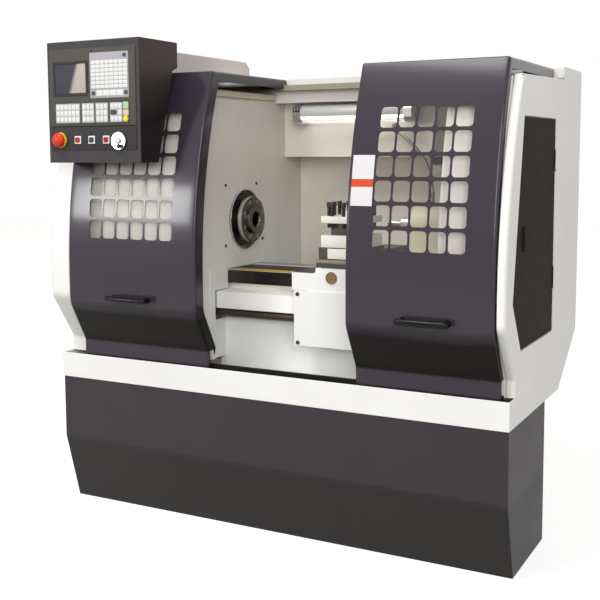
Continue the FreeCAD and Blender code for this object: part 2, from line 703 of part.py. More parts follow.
# ---------------------------------------------------------------- covers
def access_outline(grow):
    """Return the side access door's outline in Y and Z, grown outwards."""
    return [
        (ACCESS_FRONT - grow, ACCESS_BOTTOM - grow), (ACCESS_REAR + grow, ACCESS_BOTTOM - grow),
        (ACCESS_REAR + grow, ACCESS_TOP + grow), (ACCESS_FRONT - grow, ACCESS_TOP + grow),
        (ACCESS_POINT_Y - grow, ACCESS_POINT_Z),
    ]


def end_cover(side, strip):
    """One end cover: side sheet with a recess for its access door, front strip and inner return."""
    outer_x = RIGHT if side > 0 else LEFT
    inner_x = outer_x - side * SHEET

    def span(a, b):
        return min(a, b), max(a, b)

    side_x0, side_x1 = span(outer_x, inner_x)
    slope = (TRAY_RIM_REAR - TRAY_FLOOR_REAR) / (TRAY_TOP - TRAY_BOTTOM)
    slope_rear = TRAY_RIM_REAR + slope * (REAR_SLOPE_TOP - TRAY_TOP)
    top_y = cover_profile.y(COVER_TOP)
    edges = cover_profile.edges(side_x0, TRAY_TOP, COVER_TOP, 0)
    rest = [
        (top_y, COVER_TOP), (BEAM_FRONT, COVER_TOP_REAR), (BEAM_FRONT, REAR_TOP),
        (REAR_Y - REAR_CHAMFER_Y, REAR_TOP), (REAR_Y, REAR_TOP - REAR_CHAMFER_Z),
        (slope_rear, REAR_SLOPE_TOP), (TRAY_RIM_REAR, TRAY_TOP), (COVER_FOOT_Y, TRAY_TOP),
    ]
    for (y0, z0), (y1, z1) in zip(rest, rest[1:]):
        edges.append(Part.LineSegment(Vector(side_x0, y0, z0), Vector(side_x0, y1, z1)).toShape())
    outline = Part.Face(Part.Wire(Part.__sortEdges__(edges)))
    plate = outline.extrude(Vector(SHEET, 0, 0))
    recess_x0, recess_x1 = span(outer_x, outer_x - side * (ACCESS_RECESS + SHEET))
    tub_x0, tub_x1 = span(outer_x, outer_x - side * ACCESS_RECESS)
    tub = prism_x(access_outline(ACCESS_GAP + SHEET), recess_x0, recess_x1)
    hollow = prism_x(access_outline(ACCESS_GAP), tub_x0, tub_x1)
    plate = plate.fuse(tub).cut(hollow)
    strip_x0, strip_x1 = span(outer_x, outer_x - side * strip)
    front = cover_profile.sheet(strip_x0, strip_x1, TRAY_TOP, COVER_TOP, 0, SHEET)
    return_x0, return_x1 = span(outer_x - side * strip, outer_x - side * (strip - SHEET))
    inner = cover_profile.sheet(return_x0, return_x1, TRAY_TOP, ROOF_Z, 0, STRIP_RETURN)
    return fused([plate, front, inner])


def access_door(side):
    """Side access door: flat sheet with a folded pull and two hinge knuckles at its rear edge."""
    outer_x = RIGHT if side > 0 else LEFT
    face_x = outer_x - side * 4.0
    back_x = face_x - side * ACCESS_THICK
    x0, x1 = min(face_x, back_x), max(face_x, back_x)
    sheet = prism_x(access_outline(0), x0, x1)
    pull_front = ACCESS_FRONT + 10.0
    pull_x0, pull_x1 = sorted((face_x, outer_x + side * PULL_PROUD))
    pull = block(pull_x0, pull_x1, pull_front, pull_front + 4.0, PULL_BOTTOM, PULL_TOP)
    grip_x0, grip_x1 = sorted((outer_x, outer_x + side * PULL_PROUD))
    grip = block(grip_x0, grip_x1, pull_front, pull_front + 20.0, PULL_BOTTOM, PULL_TOP)
    knuckle = HINGE_PIN + RUN + HINGE_WALL
    pin_x = outer_x - side * HINGE_DEPTH
    pin_y = ACCESS_REAR - knuckle
    for z in HINGE_HEIGHTS:
        notch = block(x0 - 1, x1 + 1, pin_y - 2 * knuckle, ACCESS_REAR + 1, z - HINGE_FOOT - 2.0, z)
        sheet = sheet.cut(notch)
    pieces = [sheet, pull, grip]
    for z in HINGE_HEIGHTS:
        pieces.append(rod("z", (pin_x, pin_y, z), knuckle, HINGE_LENGTH))
    body = fused(pieces)
    for z in HINGE_HEIGHTS:
        body = body.cut(rod("z", (pin_x, pin_y, z), HINGE_PIN + RUN, HINGE_LENGTH))
    return body


def access_hinges():
    """Four fixed hinge pins, each on a bracket that stands on the recess's rear side."""
    knuckle = HINGE_PIN + RUN + HINGE_WALL
    pin_y = ACCESS_REAR - knuckle
    pins = []
    for side in (-1, 1):
        outer_x = RIGHT if side > 0 else LEFT
        pin_x = outer_x - side * HINGE_DEPTH
        for z in HINGE_HEIGHTS:
            pin = rod("z", (pin_x, pin_y, z - HINGE_FOOT), HINGE_PIN, HINGE_LENGTH + HINGE_FOOT)
            x0, x1 = sorted((outer_x - side * ACCESS_RECESS, pin_x + side * knuckle))
            foot = block(x0, x1, pin_y - knuckle, pin_y + knuckle, z - HINGE_FOOT, z - SLIDE)
            pins.append(pin.fuse(foot).removeSplitter())
    return Part.makeCompound(pins)


def front_panels():
    """The two fixed panels that the open doors stand in front of."""
    near, far = PANEL_STEP, PANEL_STEP + SHEET
    left = door_profile.sheet(LEFT + LEFT_STRIP, head_wall_left, TRAY_TOP, ROOF_Z, near, far)
    right = door_profile.sheet(PANEL_LEFT_EDGE, RIGHT - RIGHT_STRIP, TRAY_TOP, ROOF_Z, near, far)
    edge = door_profile.sheet(PANEL_LEFT_EDGE, PANEL_LEFT_EDGE + SHEET, TRAY_TOP, ROOF_Z, near,
                              near + PANEL_RETURN)
    return Part.makeCompound([left, right.fuse(edge).removeSplitter()])


def headstock_wall():
    """Upright sheet between headstock and work area, and the plate at the bed's front beside it."""
    wall_front = PANEL_STEP
    sheet = door_profile.sheet(head_wall_left, WALL_X, TRAY_TOP, ROOF_Z, wall_front, wall_front + 200.0)
    rear = block(head_wall_left, WALL_X, DOOR_FOOT_Y + wall_front + 100.0, BACK_WALL_Y, TRAY_TOP + 80.0,
                 ROOF_Z)
    sheet = sheet.fuse(rear)
    way_gap = 1.0
    front, rear_y = BED_CENTRE - BED_HALF - way_gap, BED_CENTRE + BED_HALF + way_gap
    bed_room = block(head_wall_left - 1, WALL_X + 1, front - BED_FOOT_PROUD, rear_y, TRAY_TOP - 1,
                     WAY_TOP + way_gap)
    screw_room = block(head_wall_left - 1, WALL_X + 1, Z_SCREW_Y - 34.0, front,
                       Z_SCREW_Z - Z_BLOCK_HALF - 4.0, SCREW_COVER_TOP + 2)
    sheet = sheet.cut([bed_room, screw_room])
    sheet = sheet.cut(rod("x", (head_wall_left - 1, BED_CENTRE, SPINDLE_Z), WALL_HOLE, WALL_SHEET + 2))
    beam_room = block(head_wall_left - 1, WALL_X + 1, BEAM_FRONT + FASCIA_STEP, BEAM_REAR, FASCIA_BOTTOM,
                      ROOF_Z + 1)
    sheet = sheet.cut(beam_room)
    plate_rear, plate_top = BED_CENTRE - BED_HALF - 3.0, WAY_TOP + 6.0
    plate_front = Z_SCREW_Y - 65.0
    plate = block(WALL_X, WALL_X + 6.0, plate_front, plate_rear, SCREW_COVER_TOP + 2, plate_top)
    plate = plate.fuse(block(WALL_X, WALL_X + 6.0, plate_front, Z_SCREW_Y - 36.0, TRAY_TOP,
                             SCREW_COVER_TOP + 2))
    screws = [rod("x", (WALL_X, y, z), 4.0, 2.5) for y, z in WALL_SCREWS]
    screws.append(rod("x", (WALL_X + 6.0, plate_front + 17.0, plate_top - 20.0), 5.0, 3.0))
    return fused([sheet, plate.removeSplitter()] + screws)


def rear_cover():
    """Bent sheet at the back: slope, upright wall, chamfer and rear roof."""
    x0, x1 = LEFT + SHEET, RIGHT - SHEET
    slope = (TRAY_RIM_REAR - TRAY_FLOOR_REAR) / (TRAY_TOP - TRAY_BOTTOM)
    slope_rear = TRAY_RIM_REAR + slope * (REAR_SLOPE_TOP - TRAY_TOP)
    outer = [
        (TRAY_RIM_REAR, TRAY_TOP), (slope_rear, REAR_SLOPE_TOP), (REAR_Y, REAR_TOP - REAR_CHAMFER_Z),
        (REAR_Y - REAR_CHAMFER_Y, REAR_TOP), (BEAM_REAR, REAR_TOP),
    ]
    t = REAR_SHEET
    inner = [
        (BEAM_REAR, REAR_TOP - t), (REAR_Y - REAR_CHAMFER_Y - t / 2, REAR_TOP - t),
        (REAR_Y - t, REAR_TOP - REAR_CHAMFER_Z - t / 2), (slope_rear - t, REAR_SLOPE_TOP + t / 2),
        (TRAY_RIM_REAR - 2 * t, TRAY_TOP),
    ]
    return prism_x(outer + inner, x0, x1)


def back_wall():
    """Inner rear lining, bent forward into a box-shaped housing behind the lamp."""
    top = FASCIA_BOTTOM
    wall = block(head_wall_left, RIGHT - SHEET, BACK_WALL_Y, BACK_WALL_Y + SHEET, BACK_WALL_BOTTOM,
                 BACK_WALL_TOP)
    front = block(WALL_X, HOUSING_RIGHT, HOUSING_FRONT, HOUSING_FRONT + SHEET, HOUSING_BOTTOM, top)
    floor = block(WALL_X, HOUSING_RIGHT, HOUSING_FRONT, BACK_WALL_Y, HOUSING_BOTTOM, HOUSING_BOTTOM + SHEET)
    end = block(HOUSING_RIGHT - SHEET, HOUSING_RIGHT, HOUSING_FRONT, BACK_WALL_Y, HOUSING_BOTTOM, top)
    return fused([wall, front, floor, end])


def top_beam():
    """Hollow beam across the top with a white upper face and a set-back fascia."""
    rear = BEAM_REAR
    fascia = BEAM_FRONT + FASCIA_STEP

    def outline(t):
        return [
            (BEAM_FRONT + t, BEAM_TOP - t), (BEAM_FRONT + t, BEAM_BOTTOM + t),
            (fascia + t, BEAM_BOTTOM + t), (fascia + t, FASCIA_BOTTOM + t),
            (rear - t, FASCIA_BOTTOM + t), (rear - t, BEAM_TOP - t),
        ]
    x0, x1 = LEFT + SHEET, RIGHT - SHEET
    return prism_x(outline(0), x0, x1).cut(prism_x(outline(BEAM_SHEET), x0, x1))


def roof_panels():
    """Fixed roofs over the headstock and over the right end, under the doors' top plates."""
    front_y = door_profile.y(ROOF_Z) + PANEL_STEP
    rear_y = BEAM_FRONT + FASCIA_STEP
    left = block(LEFT + SHEET, WALL_X, front_y, rear_y, ROOF_Z, ROOF_Z + SHEET)
    right = block(PANEL_LEFT_EDGE, RIGHT - SHEET, front_y, rear_y, ROOF_Z, ROOF_Z + SHEET)
    strip_rear = cover_profile.y(ROOF_Z + SHEET) + SHEET
    for x0, x1 in ((LEFT, LEFT + LEFT_STRIP), (RIGHT - RIGHT_STRIP, RIGHT)):
        strip_room = block(x0, x1, front_y - 1, strip_rear, ROOF_Z - 1, ROOF_Z + SHEET + 1)
        left = left.cut(strip_room)
        right = right.cut(strip_room)
    return Part.makeCompound([left, right])


def door_rails():
    """Top rail on the beam's fascia and bottom rail in the tray."""
    x0, x1 = LEFT + LEFT_STRIP + 2.0, RIGHT - RIGHT_STRIP - 2.0
    lip_top = TOP_RAIL_Z + TOP_RAIL_HEIGHT
    fascia = BEAM_FRONT + FASCIA_STEP
    top = block(x0, x1, TOP_RAIL_Y, TOP_RAIL_Y + RAIL_THICK, TOP_RAIL_Z, lip_top)
    shelf = block(x0, x1, TOP_RAIL_Y, fascia, TOP_RAIL_Z, TOP_RAIL_Z + RAIL_THICK)
    bottom = block(x0, x1, BOTTOM_RAIL_Y, BOTTOM_RAIL_Y + RAIL_THICK, tray_floor_top, BOTTOM_RAIL_TOP)
    foot = block(x0, x1, BOTTOM_RAIL_Y, BOTTOM_RAIL_Y + 24.0, tray_floor_top, tray_floor_top + 4.0)
    return Part.makeCompound([fused([top, shelf]), fused([bottom, foot])])


def carrier_housing():
    """Long housing over the roof that carries the control box at its front end."""
    def outline(t):
        rear = CARRIER_REAR - t
        return [
            (BOX_REAR + t, BOX_SHOULDER_HIGH + t), (BOX_REAR + t, CARRIER_TOP - t),
            (rear - CARRIER_CHAMFER_Y, CARRIER_TOP - t), (rear, CARRIER_TOP - CARRIER_CHAMFER_Z - t),
            (rear, BOX_SHOULDER_HIGH + 14.0 + t), (REAR_Y - REAR_CHAMFER_Y - t, REAR_TOP + t),
            (HOUSING_FRONT + t, REAR_TOP + t), (HOUSING_FRONT + t, BOX_SHOULDER_HIGH + t),
        ]
    shell = prism_x(outline(0), CARRIER_LEFT, CARRIER_RIGHT)
    return shell.cut(prism_x(outline(BOX_SHEET), CARRIER_LEFT + BOX_SHEET, CARRIER_RIGHT - BOX_SHEET))


# ---------------------------------------------------------------- doors
def window_cells(left, columns):
    """Return the rounded cells of one window as a list of cutters along Y."""
    cells = []
    corner = CELL_ROUND
    for row in range(CELL_ROWS):
        z0 = WINDOW_BOTTOM + row * (CELL_HEIGHT + CELL_BAR_HEIGHT)
        z1 = z0 + CELL_HEIGHT
        for column in range(columns):
            x0 = left + column * (CELL_WIDTH + CELL_BAR)
            x1 = x0 + CELL_WIDTH
            cell = block(x0, x1, DOOR_FACE_Y - 20.0, DOOR_FACE_Y + 150.0, z0, z1)
            upright = [e for e in cell.Edges if e.BoundBox.YLength > 100.0]
            cells.append(cell.makeFillet(corner, upright))
    return cells


def window_span(columns):
    """Return the width over all cells of a window."""
    return columns * CELL_WIDTH + (columns - 1) * CELL_BAR


def door_shell(x0, x1, columns, opening_side):
    """Door sheet with its punched grille, side flanges, top plate and glide shoes."""
    skin = door_profile.sheet(x0, x1, DOOR_BOTTOM, DOOR_TOP, 0, SHEET)
    left_depth = DOOR_FLANGE if opening_side < 0 else DOOR_OUTER_FLANGE
    right_depth = DOOR_FLANGE if opening_side > 0 else DOOR_OUTER_FLANGE
    rail_low_room = block(x0 - 1, x1 + 1, DOOR_FOOT_Y + SHEET, DOOR_FOOT_Y + DOOR_FLANGE + 1,
                          DOOR_BOTTOM - 1, FOOT_TOP)
    pieces = [
        skin,
        door_profile.sheet(x0, x0 + SHEET, DOOR_BOTTOM, DOOR_TOP, 0, left_depth).cut(rail_low_room),
        door_profile.sheet(x1 - SHEET, x1, DOOR_BOTTOM, DOOR_TOP, 0, right_depth).cut(rail_low_room),
    ]
    top_front = door_profile.y(DOOR_TOP)
    pieces.append(block(x0, x1, top_front, DOOR_PLATE_REAR, DOOR_TOP - SHEET, DOOR_TOP))
    arm_front = top_front + 4.0
    rail_room = block(x0 - 1, x1 + 1, TOP_RAIL_Y - SHOE_WALL - 2 * SLIDE, DOOR_PLATE_REAR + 1,
                      DOOR_TOP - DOOR_ARM - 1, TOP_RAIL_Z + TOP_RAIL_HEIGHT + RAIL_ROOM)
    for x in (x0, x1 - SHEET):
        arm = block(x, x + SHEET, arm_front, DOOR_PLATE_REAR, DOOR_TOP - DOOR_ARM, DOOR_TOP)
        pieces.append(arm.cut(rail_room))
    pieces += glide_shoes(x0, x1)
    window_left = (x0 + x1) / 2 - window_span(columns) / 2
    shell = fused(pieces)
    return shell.cut(window_cells(window_left, columns)).removeSplitter()


def glide_shoes(x0, x1):
    """Two shoes over the top rail and two over the bottom rail, with their slots."""
    shoes = []
    rail_top = TOP_RAIL_Z + TOP_RAIL_HEIGHT
    for x in (x0 + 40.0, x1 - 40.0 - SHOE_LENGTH):
        top_rear = TOP_RAIL_Y + RAIL_THICK + SHOE_WALL + SLIDE
        block_top = block(x, x + SHOE_LENGTH, TOP_RAIL_Y - SHOE_WALL - SLIDE, top_rear, rail_top - 12.0,
                          DOOR_TOP - SHEET)
        slot = block(x - 1, x + SHOE_LENGTH + 1, TOP_RAIL_Y - SLIDE, TOP_RAIL_Y + RAIL_THICK + SLIDE,
                     rail_top - 13.0, rail_top + SLIDE)
        shoes.append(block_top.cut(slot))
        low = block(x, x + SHOE_LENGTH, DOOR_FOOT_Y + SHEET, BOTTOM_RAIL_Y + RAIL_THICK + SHOE_WALL + SLIDE,
                    DOOR_BOTTOM + 2.0, BOTTOM_RAIL_TOP + 14.0)
        low_slot = block(x - 1, x + SHOE_LENGTH + 1, BOTTOM_RAIL_Y - SLIDE,
                         BOTTOM_RAIL_Y + RAIL_THICK + SLIDE, DOOR_BOTTOM, BOTTOM_RAIL_TOP + SLIDE)
        shoes.append(low.cut(low_slot))
    return shoes


def door_pane(x0, x1, columns):
    """Clear pane that lies behind the door's punched grille."""
    width = window_span(columns)
    left = (x0 + x1) / 2 - width / 2
    top = WINDOW_BOTTOM + CELL_ROWS * (CELL_HEIGHT + CELL_BAR_HEIGHT) - CELL_BAR_HEIGHT
    front = SHEET + PART_GAP
    return door_profile.sheet(left - PANE_LAP, left + width + PANE_LAP, WINDOW_BOTTOM - PANE_LAP,
                              top + PANE_LAP, front, front + PANE)


def door_handle(centre_x):
    """Bar handle on two posts."""
    face = door_profile.y(HANDLE_HEIGHT)
    bar_y = face - HANDLE_REACH
    half = HANDLE_LENGTH / 2
    bar = rod("x", (centre_x - half, bar_y, HANDLE_HEIGHT), HANDLE_RADIUS, HANDLE_LENGTH)
    posts = [rod("y", (centre_x + side * (half - HANDLE_POST_INSET), bar_y, HANDLE_HEIGHT), HANDLE_POST, HANDLE_REACH)
             for side in (-1, 1)]
    ends = [Part.makeSphere(HANDLE_RADIUS, Vector(centre_x + side * half, bar_y, HANDLE_HEIGHT))
            for side in (-1, 1)]
    return fused([bar] + posts + ends)


# ---------------------------------------------------------------- carriage
def saddle():
    """Carriage casting: slides on the ways, carries the X screw and hangs down at the front."""
    under = WAY_TOP + SLIDE
    body = block(SADDLE_LEFT, SADDLE_RIGHT, SADDLE_FRONT, SADDLE_REAR, under, SADDLE_TOP)
    front_step = block(SADDLE_LEFT - 1, SADDLE_STEP_X, SADDLE_FRONT - 1, CROSS_FRONT - 2.0, SADDLE_STEP_Z,
                       SADDLE_TOP + 1)
    step = block(SADDLE_LEFT - 1, CROSS_LEFT, SADDLE_FRONT - 1, SADDLE_REAR + 1, SADDLE_STEP_Z,
                 SADDLE_TOP + 1)
    body = body.cut([front_step, step])
    way_front = BED_CENTRE - BED_HALF - SLIDE
    way_rear = BED_CENTRE + BED_HALF + SLIDE
    pieces = [
        body,
        block(SADDLE_LEFT, SADDLE_RIGHT, SADDLE_FRONT, way_front, APRON_TOP, under),
        block(SADDLE_LEFT, SADDLE_RIGHT, way_rear, SADDLE_REAR, WAY_TOP - WAY_HEIGHT, under),
        block(SADDLE_LEFT + 60, SADDLE_RIGHT - 60, SADDLE_FRONT, SADDLE_FRONT + APRON_PLATE,
              APRON_BOTTOM + 12, APRON_TOP),
    ]
    body = fused(pieces)
    bearing = SADDLE_FRONT + X_END_WALL + X_END_BEARING
    bore = rod("y", (X_SCREW_X, bearing, X_SCREW_Z), X_BORE, SADDLE_REAR - bearing)
    seat = rod("y", (X_SCREW_X, SADDLE_FRONT + X_END_WALL, X_SCREW_Z), X_SCREW_RADIUS + RUN, X_END_BEARING)
    pocket_half = X_NUT_SIDE / 2 + 4.0
    pocket_front = X_NUT_FRONT - CROSS_TRAVEL - 6.0
    pocket_rear = X_NUT_FRONT + X_NUT_LENGTH + CROSS_BACK + 6.0
    pocket = block(X_SCREW_X - pocket_half, X_SCREW_X + pocket_half, pocket_front, pocket_rear, under - 1,
                   SADDLE_TOP + 1)
    return body.cut([bore, seat, pocket]).removeSplitter()


def apron_cover():
    """Sheet cover screwed to the front of the apron, with its two left screws."""
    front = SADDLE_FRONT - APRON_SHEET
    back = SADDLE_FRONT + APRON_RETURN
    top = APRON_TOP - 1.0
    left = SADDLE_LEFT + APRON_INSET
    sheet = block(left, SADDLE_RIGHT, front, SADDLE_FRONT, APRON_BOTTOM, top)
    returns = [
        block(left, left + SHEET, front, back, APRON_BOTTOM, top),
        block(SADDLE_RIGHT - SHEET, SADDLE_RIGHT, front, back, APRON_BOTTOM, top),
    ]
    screws = [rod("y", (x, front - 2.5, z), 4.5, 3.0)
              for x in (left + 14.0, SADDLE_RIGHT - 22.0)
              for z in (APRON_BOTTOM + 10.0, APRON_TOP - 14.0)]
    return fused([sheet] + returns + screws)


def oil_cap():
    """Round brass cap over the front end of the X screw."""
    return rod("y", (X_SCREW_X, SADDLE_FRONT - 4.0, X_SCREW_Z - 9.0), OIL_CAP_RADIUS, 4.0)


def z_nut():
    """Nut round the Z screw with the bracket that ties it to the apron casting."""
    middle = (SADDLE_LEFT + SADDLE_RIGHT) / 2
    left = middle - Z_NUT_LENGTH / 2
    body = rod("x", (left, Z_SCREW_Y, Z_SCREW_Z), Z_NUT_RADIUS, Z_NUT_LENGTH)
    bracket = block(left, left + Z_NUT_LENGTH, SADDLE_FRONT + APRON_PLATE, Z_SCREW_Y + 20.0,
                    APRON_BOTTOM + 14.0, Z_SCREW_Z - 16.0)
    bore = rod("x", (left, Z_SCREW_Y, Z_SCREW_Z), Z_SCREW_RADIUS + RUN, Z_NUT_LENGTH)
    return body.fuse(bracket).cut(bore).removeSplitter()


def z_screw():
    """Ball screw along the bed with journals at both ends."""
    left = BED_LEFT + 60.0
    length = Z_SCREW_RIGHT - 2 * Z_BLOCK - left
    body = rod("x", (left + Z_BLOCK, Z_SCREW_Y, Z_SCREW_Z), Z_SCREW_RADIUS, length)
    journals = [
        rod("x", (left, Z_SCREW_Y, Z_SCREW_Z), Z_SCREW_RADIUS - 4, Z_BLOCK),
        rod("x", (Z_SCREW_RIGHT - Z_BLOCK, Z_SCREW_Y, Z_SCREW_Z), Z_SCREW_RADIUS - 4, Z_BLOCK),
    ]
    return fused([body] + journals)


def z_motor():
    """Servo motor at the right end of the Z screw with its bracket, and the left bearing block."""
    half = Z_MOTOR_SIDE / 2
    bed_face = BED_CENTRE - BED_HALF + BED_SETBACK
    x = Z_SCREW_RIGHT - Z_BLOCK
    housing = block(x + SLIDE, x + Z_BLOCK, Z_SCREW_Y - 30, bed_face, Z_SCREW_Z - Z_BLOCK_HALF,
                  Z_SCREW_Z + Z_BLOCK_HALF)
    motor = block(x + Z_BLOCK, x + Z_BLOCK + Z_MOTOR_LENGTH, Z_SCREW_Y - half, Z_SCREW_Y + half,
                  Z_SCREW_Z - half, Z_SCREW_Z + half)
    tail = rod("x", (x + Z_BLOCK + Z_MOTOR_LENGTH, Z_SCREW_Y, Z_SCREW_Z), half - 12, 10.0)
    journal = Z_SCREW_RADIUS - 4 + RUN
    right = fused([housing, motor, tail]).cut(rod("x", (x, Z_SCREW_Y, Z_SCREW_Z), journal, Z_BLOCK + RUN))
    left_x = BED_LEFT + 60.0
    left = block(left_x + 4, left_x + Z_BLOCK - SLIDE, Z_SCREW_Y - 30, bed_face, Z_SCREW_Z - Z_BLOCK_HALF,
                  Z_SCREW_Z + Z_BLOCK_HALF)
    left = left.cut(rod("x", (left_x, Z_SCREW_Y, Z_SCREW_Z), journal, Z_BLOCK))
    return Part.makeCompound([right, left])


def screw_cover():
    """White folded cover in front of and over the Z screw."""
    x0, x1 = WALL_X + 6.0, Z_SCREW_RIGHT - Z_BLOCK
    front = block(x0, x1, SCREW_COVER_FRONT, SCREW_COVER_FRONT + SHEET, SCREW_COVER_BOTTOM, SCREW_COVER_TOP)
    bed_face = BED_CENTRE - BED_HALF + BED_SETBACK
    top = block(x0, x1, SCREW_COVER_FRONT, bed_face, SCREW_COVER_TOP - SHEET, SCREW_COVER_TOP)
    sill_y = SADDLE_FRONT + BED_SILL_DEPTH
    lower = block(x0, x1, sill_y, sill_y + SHEET, BED_SILL_BOTTOM, BED_SILL_TOP)
    ledge = block(x0, x1, sill_y, bed_face, BED_SILL_TOP - SHEET, BED_SILL_TOP)
    return Part.makeCompound([fused([front, top]), fused([lower, ledge])])


def cross_slide():
    """Flat slide on the saddle with the nut that hangs into the saddle's pocket."""
    plate = block(CROSS_LEFT, CROSS_RIGHT, CROSS_FRONT, CROSS_REAR, SADDLE_TOP + SLIDE, CROSS_TOP)
    half = X_NUT_SIDE / 2
    y0 = X_NUT_FRONT
    nut = block(X_SCREW_X - half, X_SCREW_X + half, y0, y0 + X_NUT_LENGTH, X_SCREW_Z - half, SADDLE_TOP + 1)
    body = plate.fuse(nut)
    bore = rod("y", (X_SCREW_X, y0, X_SCREW_Z), X_SCREW_RADIUS + RUN, X_NUT_LENGTH)
    return body.cut(bore).removeSplitter()


def x_screw():
    """Ball screw of the cross slide."""
    front = SADDLE_FRONT + X_END_WALL + SLIDE
    return rod("y", (X_SCREW_X, front, X_SCREW_Z), X_SCREW_RADIUS, SADDLE_REAR + X_MOTOR_BORE - front)


def x_motor():
    """Servo motor behind the saddle that turns the X screw."""
    half = X_MOTOR_SIDE / 2
    body = block(X_SCREW_X - half, X_SCREW_X + half, SADDLE_REAR, SADDLE_REAR + X_MOTOR_LENGTH,
                 X_SCREW_Z - half + 10, X_SCREW_Z + half + 10)
    tail = rod("y", (X_SCREW_X, SADDLE_REAR + X_MOTOR_LENGTH, X_SCREW_Z + 10), half - 8, 24.0)
    bore = rod("y", (X_SCREW_X, SADDLE_REAR, X_SCREW_Z), X_SCREW_RADIUS + RUN, X_MOTOR_BORE + RUN)
    return fused([body, tail]).cut(bore)


def square(side, z0, z1, corner):
    """Return a square block about the tool post's axis with rounded upright edges."""
    half = side / 2
    x, y = POST_CENTRE_X, POST_CENTRE_Y
    body = block(x - half, x + half, y - half, y + half, z0, z1)
    upright = [e for e in body.Edges if e.BoundBox.ZLength > 1]
    return body.makeFillet(corner, upright)


def tool_post_base():
    """Fixed base of the four-way tool post."""
    base = square(POST_BASE_SIDE, CROSS_TOP, POST_BASE_TOP - SLIDE, 6.0)
    pivot = rod("z", (POST_CENTRE_X, POST_CENTRE_Y, CROSS_TOP), POST_PIVOT, PIVOT_TOP - CROSS_TOP)
    return base.fuse(pivot).removeSplitter()


def turret_block():
    """Turning head of the tool post with a tool slot on each side."""
    body = square(POST_SIDE, POST_BASE_TOP, POST_TOP, 5.0)
    core = square(POST_SIDE - 2 * SLOT_DEPTH, SLOT_BOTTOM, SLOT_TOP, 3.0)
    slot = square(POST_SIDE + 20, SLOT_BOTTOM, SLOT_TOP, 1.0).cut(core)
    hub = rod("z", (POST_CENTRE_X, POST_CENTRE_Y, POST_TOP), 26.0, 14.0)
    pivot_bore = rod("z", (POST_CENTRE_X, POST_CENTRE_Y, POST_BASE_TOP), POST_PIVOT + RUN,
                     PIVOT_TOP + SLIDE - POST_BASE_TOP)
    body = body.cut(slot).fuse(hub).cut(pivot_bore)
    depth = POST_TOP - SLOT_TOP + 2
    return body.cut([rod("z", (x, y, SLOT_TOP - 1), BOLT_RADIUS, depth) for x, y in bolt_places()])


def bolt_places():
    """Return the X and Y of the clamping bolts, three along each side."""
    places = []
    reach = POST_SIDE / 2 - BOLT_INSET
    for quarter in range(4):
        cos, sin = round(math.cos(quarter * math.pi / 2)), round(math.sin(quarter * math.pi / 2))
        for along in (-BOLT_PITCH, 0.0, BOLT_PITCH):
            x = along * cos + reach * sin
            y = along * sin - reach * cos
            places.append((POST_CENTRE_X + x, POST_CENTRE_Y + y))
    return places


def clamp_bolts():
    """Square-headed bolts that clamp the tools."""
    bolts = []
    half = BOLT_HEAD / 2
    for x, y in bolt_places():
        shank = rod("z", (x, y, BOLT_TIP), BOLT_RADIUS, BOLT_TOP - BOLT_HEAD_HEIGHT - BOLT_TIP)
        head = block(x - half, x + half, y - half, y + half, BOLT_TOP - BOLT_HEAD_HEIGHT, BOLT_TOP)
        bolts.append(shank.fuse(head).removeSplitter())
    return Part.makeCompound(bolts)


# ---------------------------------------------------------------- tailstock
def tailstock_body():
    """Tailstock casting with its barrel bored for the quill."""
    base = block(TAIL_LEFT, TAIL_RIGHT, TAIL_BASE_FRONT, TAIL_BASE_REAR, WAY_TOP + SLIDE, TAIL_BASE_TOP)
    neck = block(TAIL_LEFT, TAIL_RIGHT, BED_CENTRE - TAIL_NECK, BED_CENTRE + TAIL_NECK, TAIL_BASE_TOP,
                 SPINDLE_Z)
    barrel = rod("x", (TAIL_LEFT, BED_CENTRE, SPINDLE_Z), BARREL_RADIUS + 6, TAIL_RIGHT - TAIL_LEFT)
    end_cap = rod("x", (TAIL_RIGHT, BED_CENTRE, SPINDLE_Z), BARREL_RADIUS - 10, TAIL_CAP)
    bore = rod("x", (TAIL_LEFT, BED_CENTRE, SPINDLE_Z), QUILL_RADIUS + RUN, QUILL_RIGHT - TAIL_LEFT + 1.0)
    shaft_bore = rod("x", (TAIL_LEFT, BED_CENTRE, SPINDLE_Z), WHEEL_SHAFT + RUN,
                     TAIL_RIGHT - TAIL_LEFT + TAIL_CAP)
    return fused([base, neck, barrel, end_cap]).cut([bore, shaft_bore]).removeSplitter()


def quill():
    """Quill with a socket for the centre and a bore for the handwheel screw."""
    body = rod("x", (QUILL_LEFT, BED_CENTRE, SPINDLE_Z), QUILL_RADIUS, QUILL_RIGHT - QUILL_LEFT)
    socket = rod("x", (QUILL_LEFT, BED_CENTRE, SPINDLE_Z), CENTRE_RADIUS, CENTRE_SOCKET)
    screw_bore = rod("x", (QUILL_RIGHT - SCREW_BORE, BED_CENTRE, SPINDLE_Z), WHEEL_SHAFT + RUN, SCREW_BORE)
    return body.cut([socket, screw_bore])


def tailstock_centre():
    """Centre in the quill with a 60 degree point."""
    front = QUILL_LEFT - CENTRE_LENGTH
    shank = rod("x", (QUILL_LEFT - CENTRE_LENGTH + CENTRE_POINT, BED_CENTRE, SPINDLE_Z), CENTRE_RADIUS,
                CENTRE_LENGTH - CENTRE_POINT + CENTRE_SOCKET)
    tip = Vector(front, BED_CENTRE, SPINDLE_Z)
    point = Part.makeCone(0, CENTRE_RADIUS, CENTRE_POINT, tip, Vector(1, 0, 0))
    return shank.fuse(point).removeSplitter()


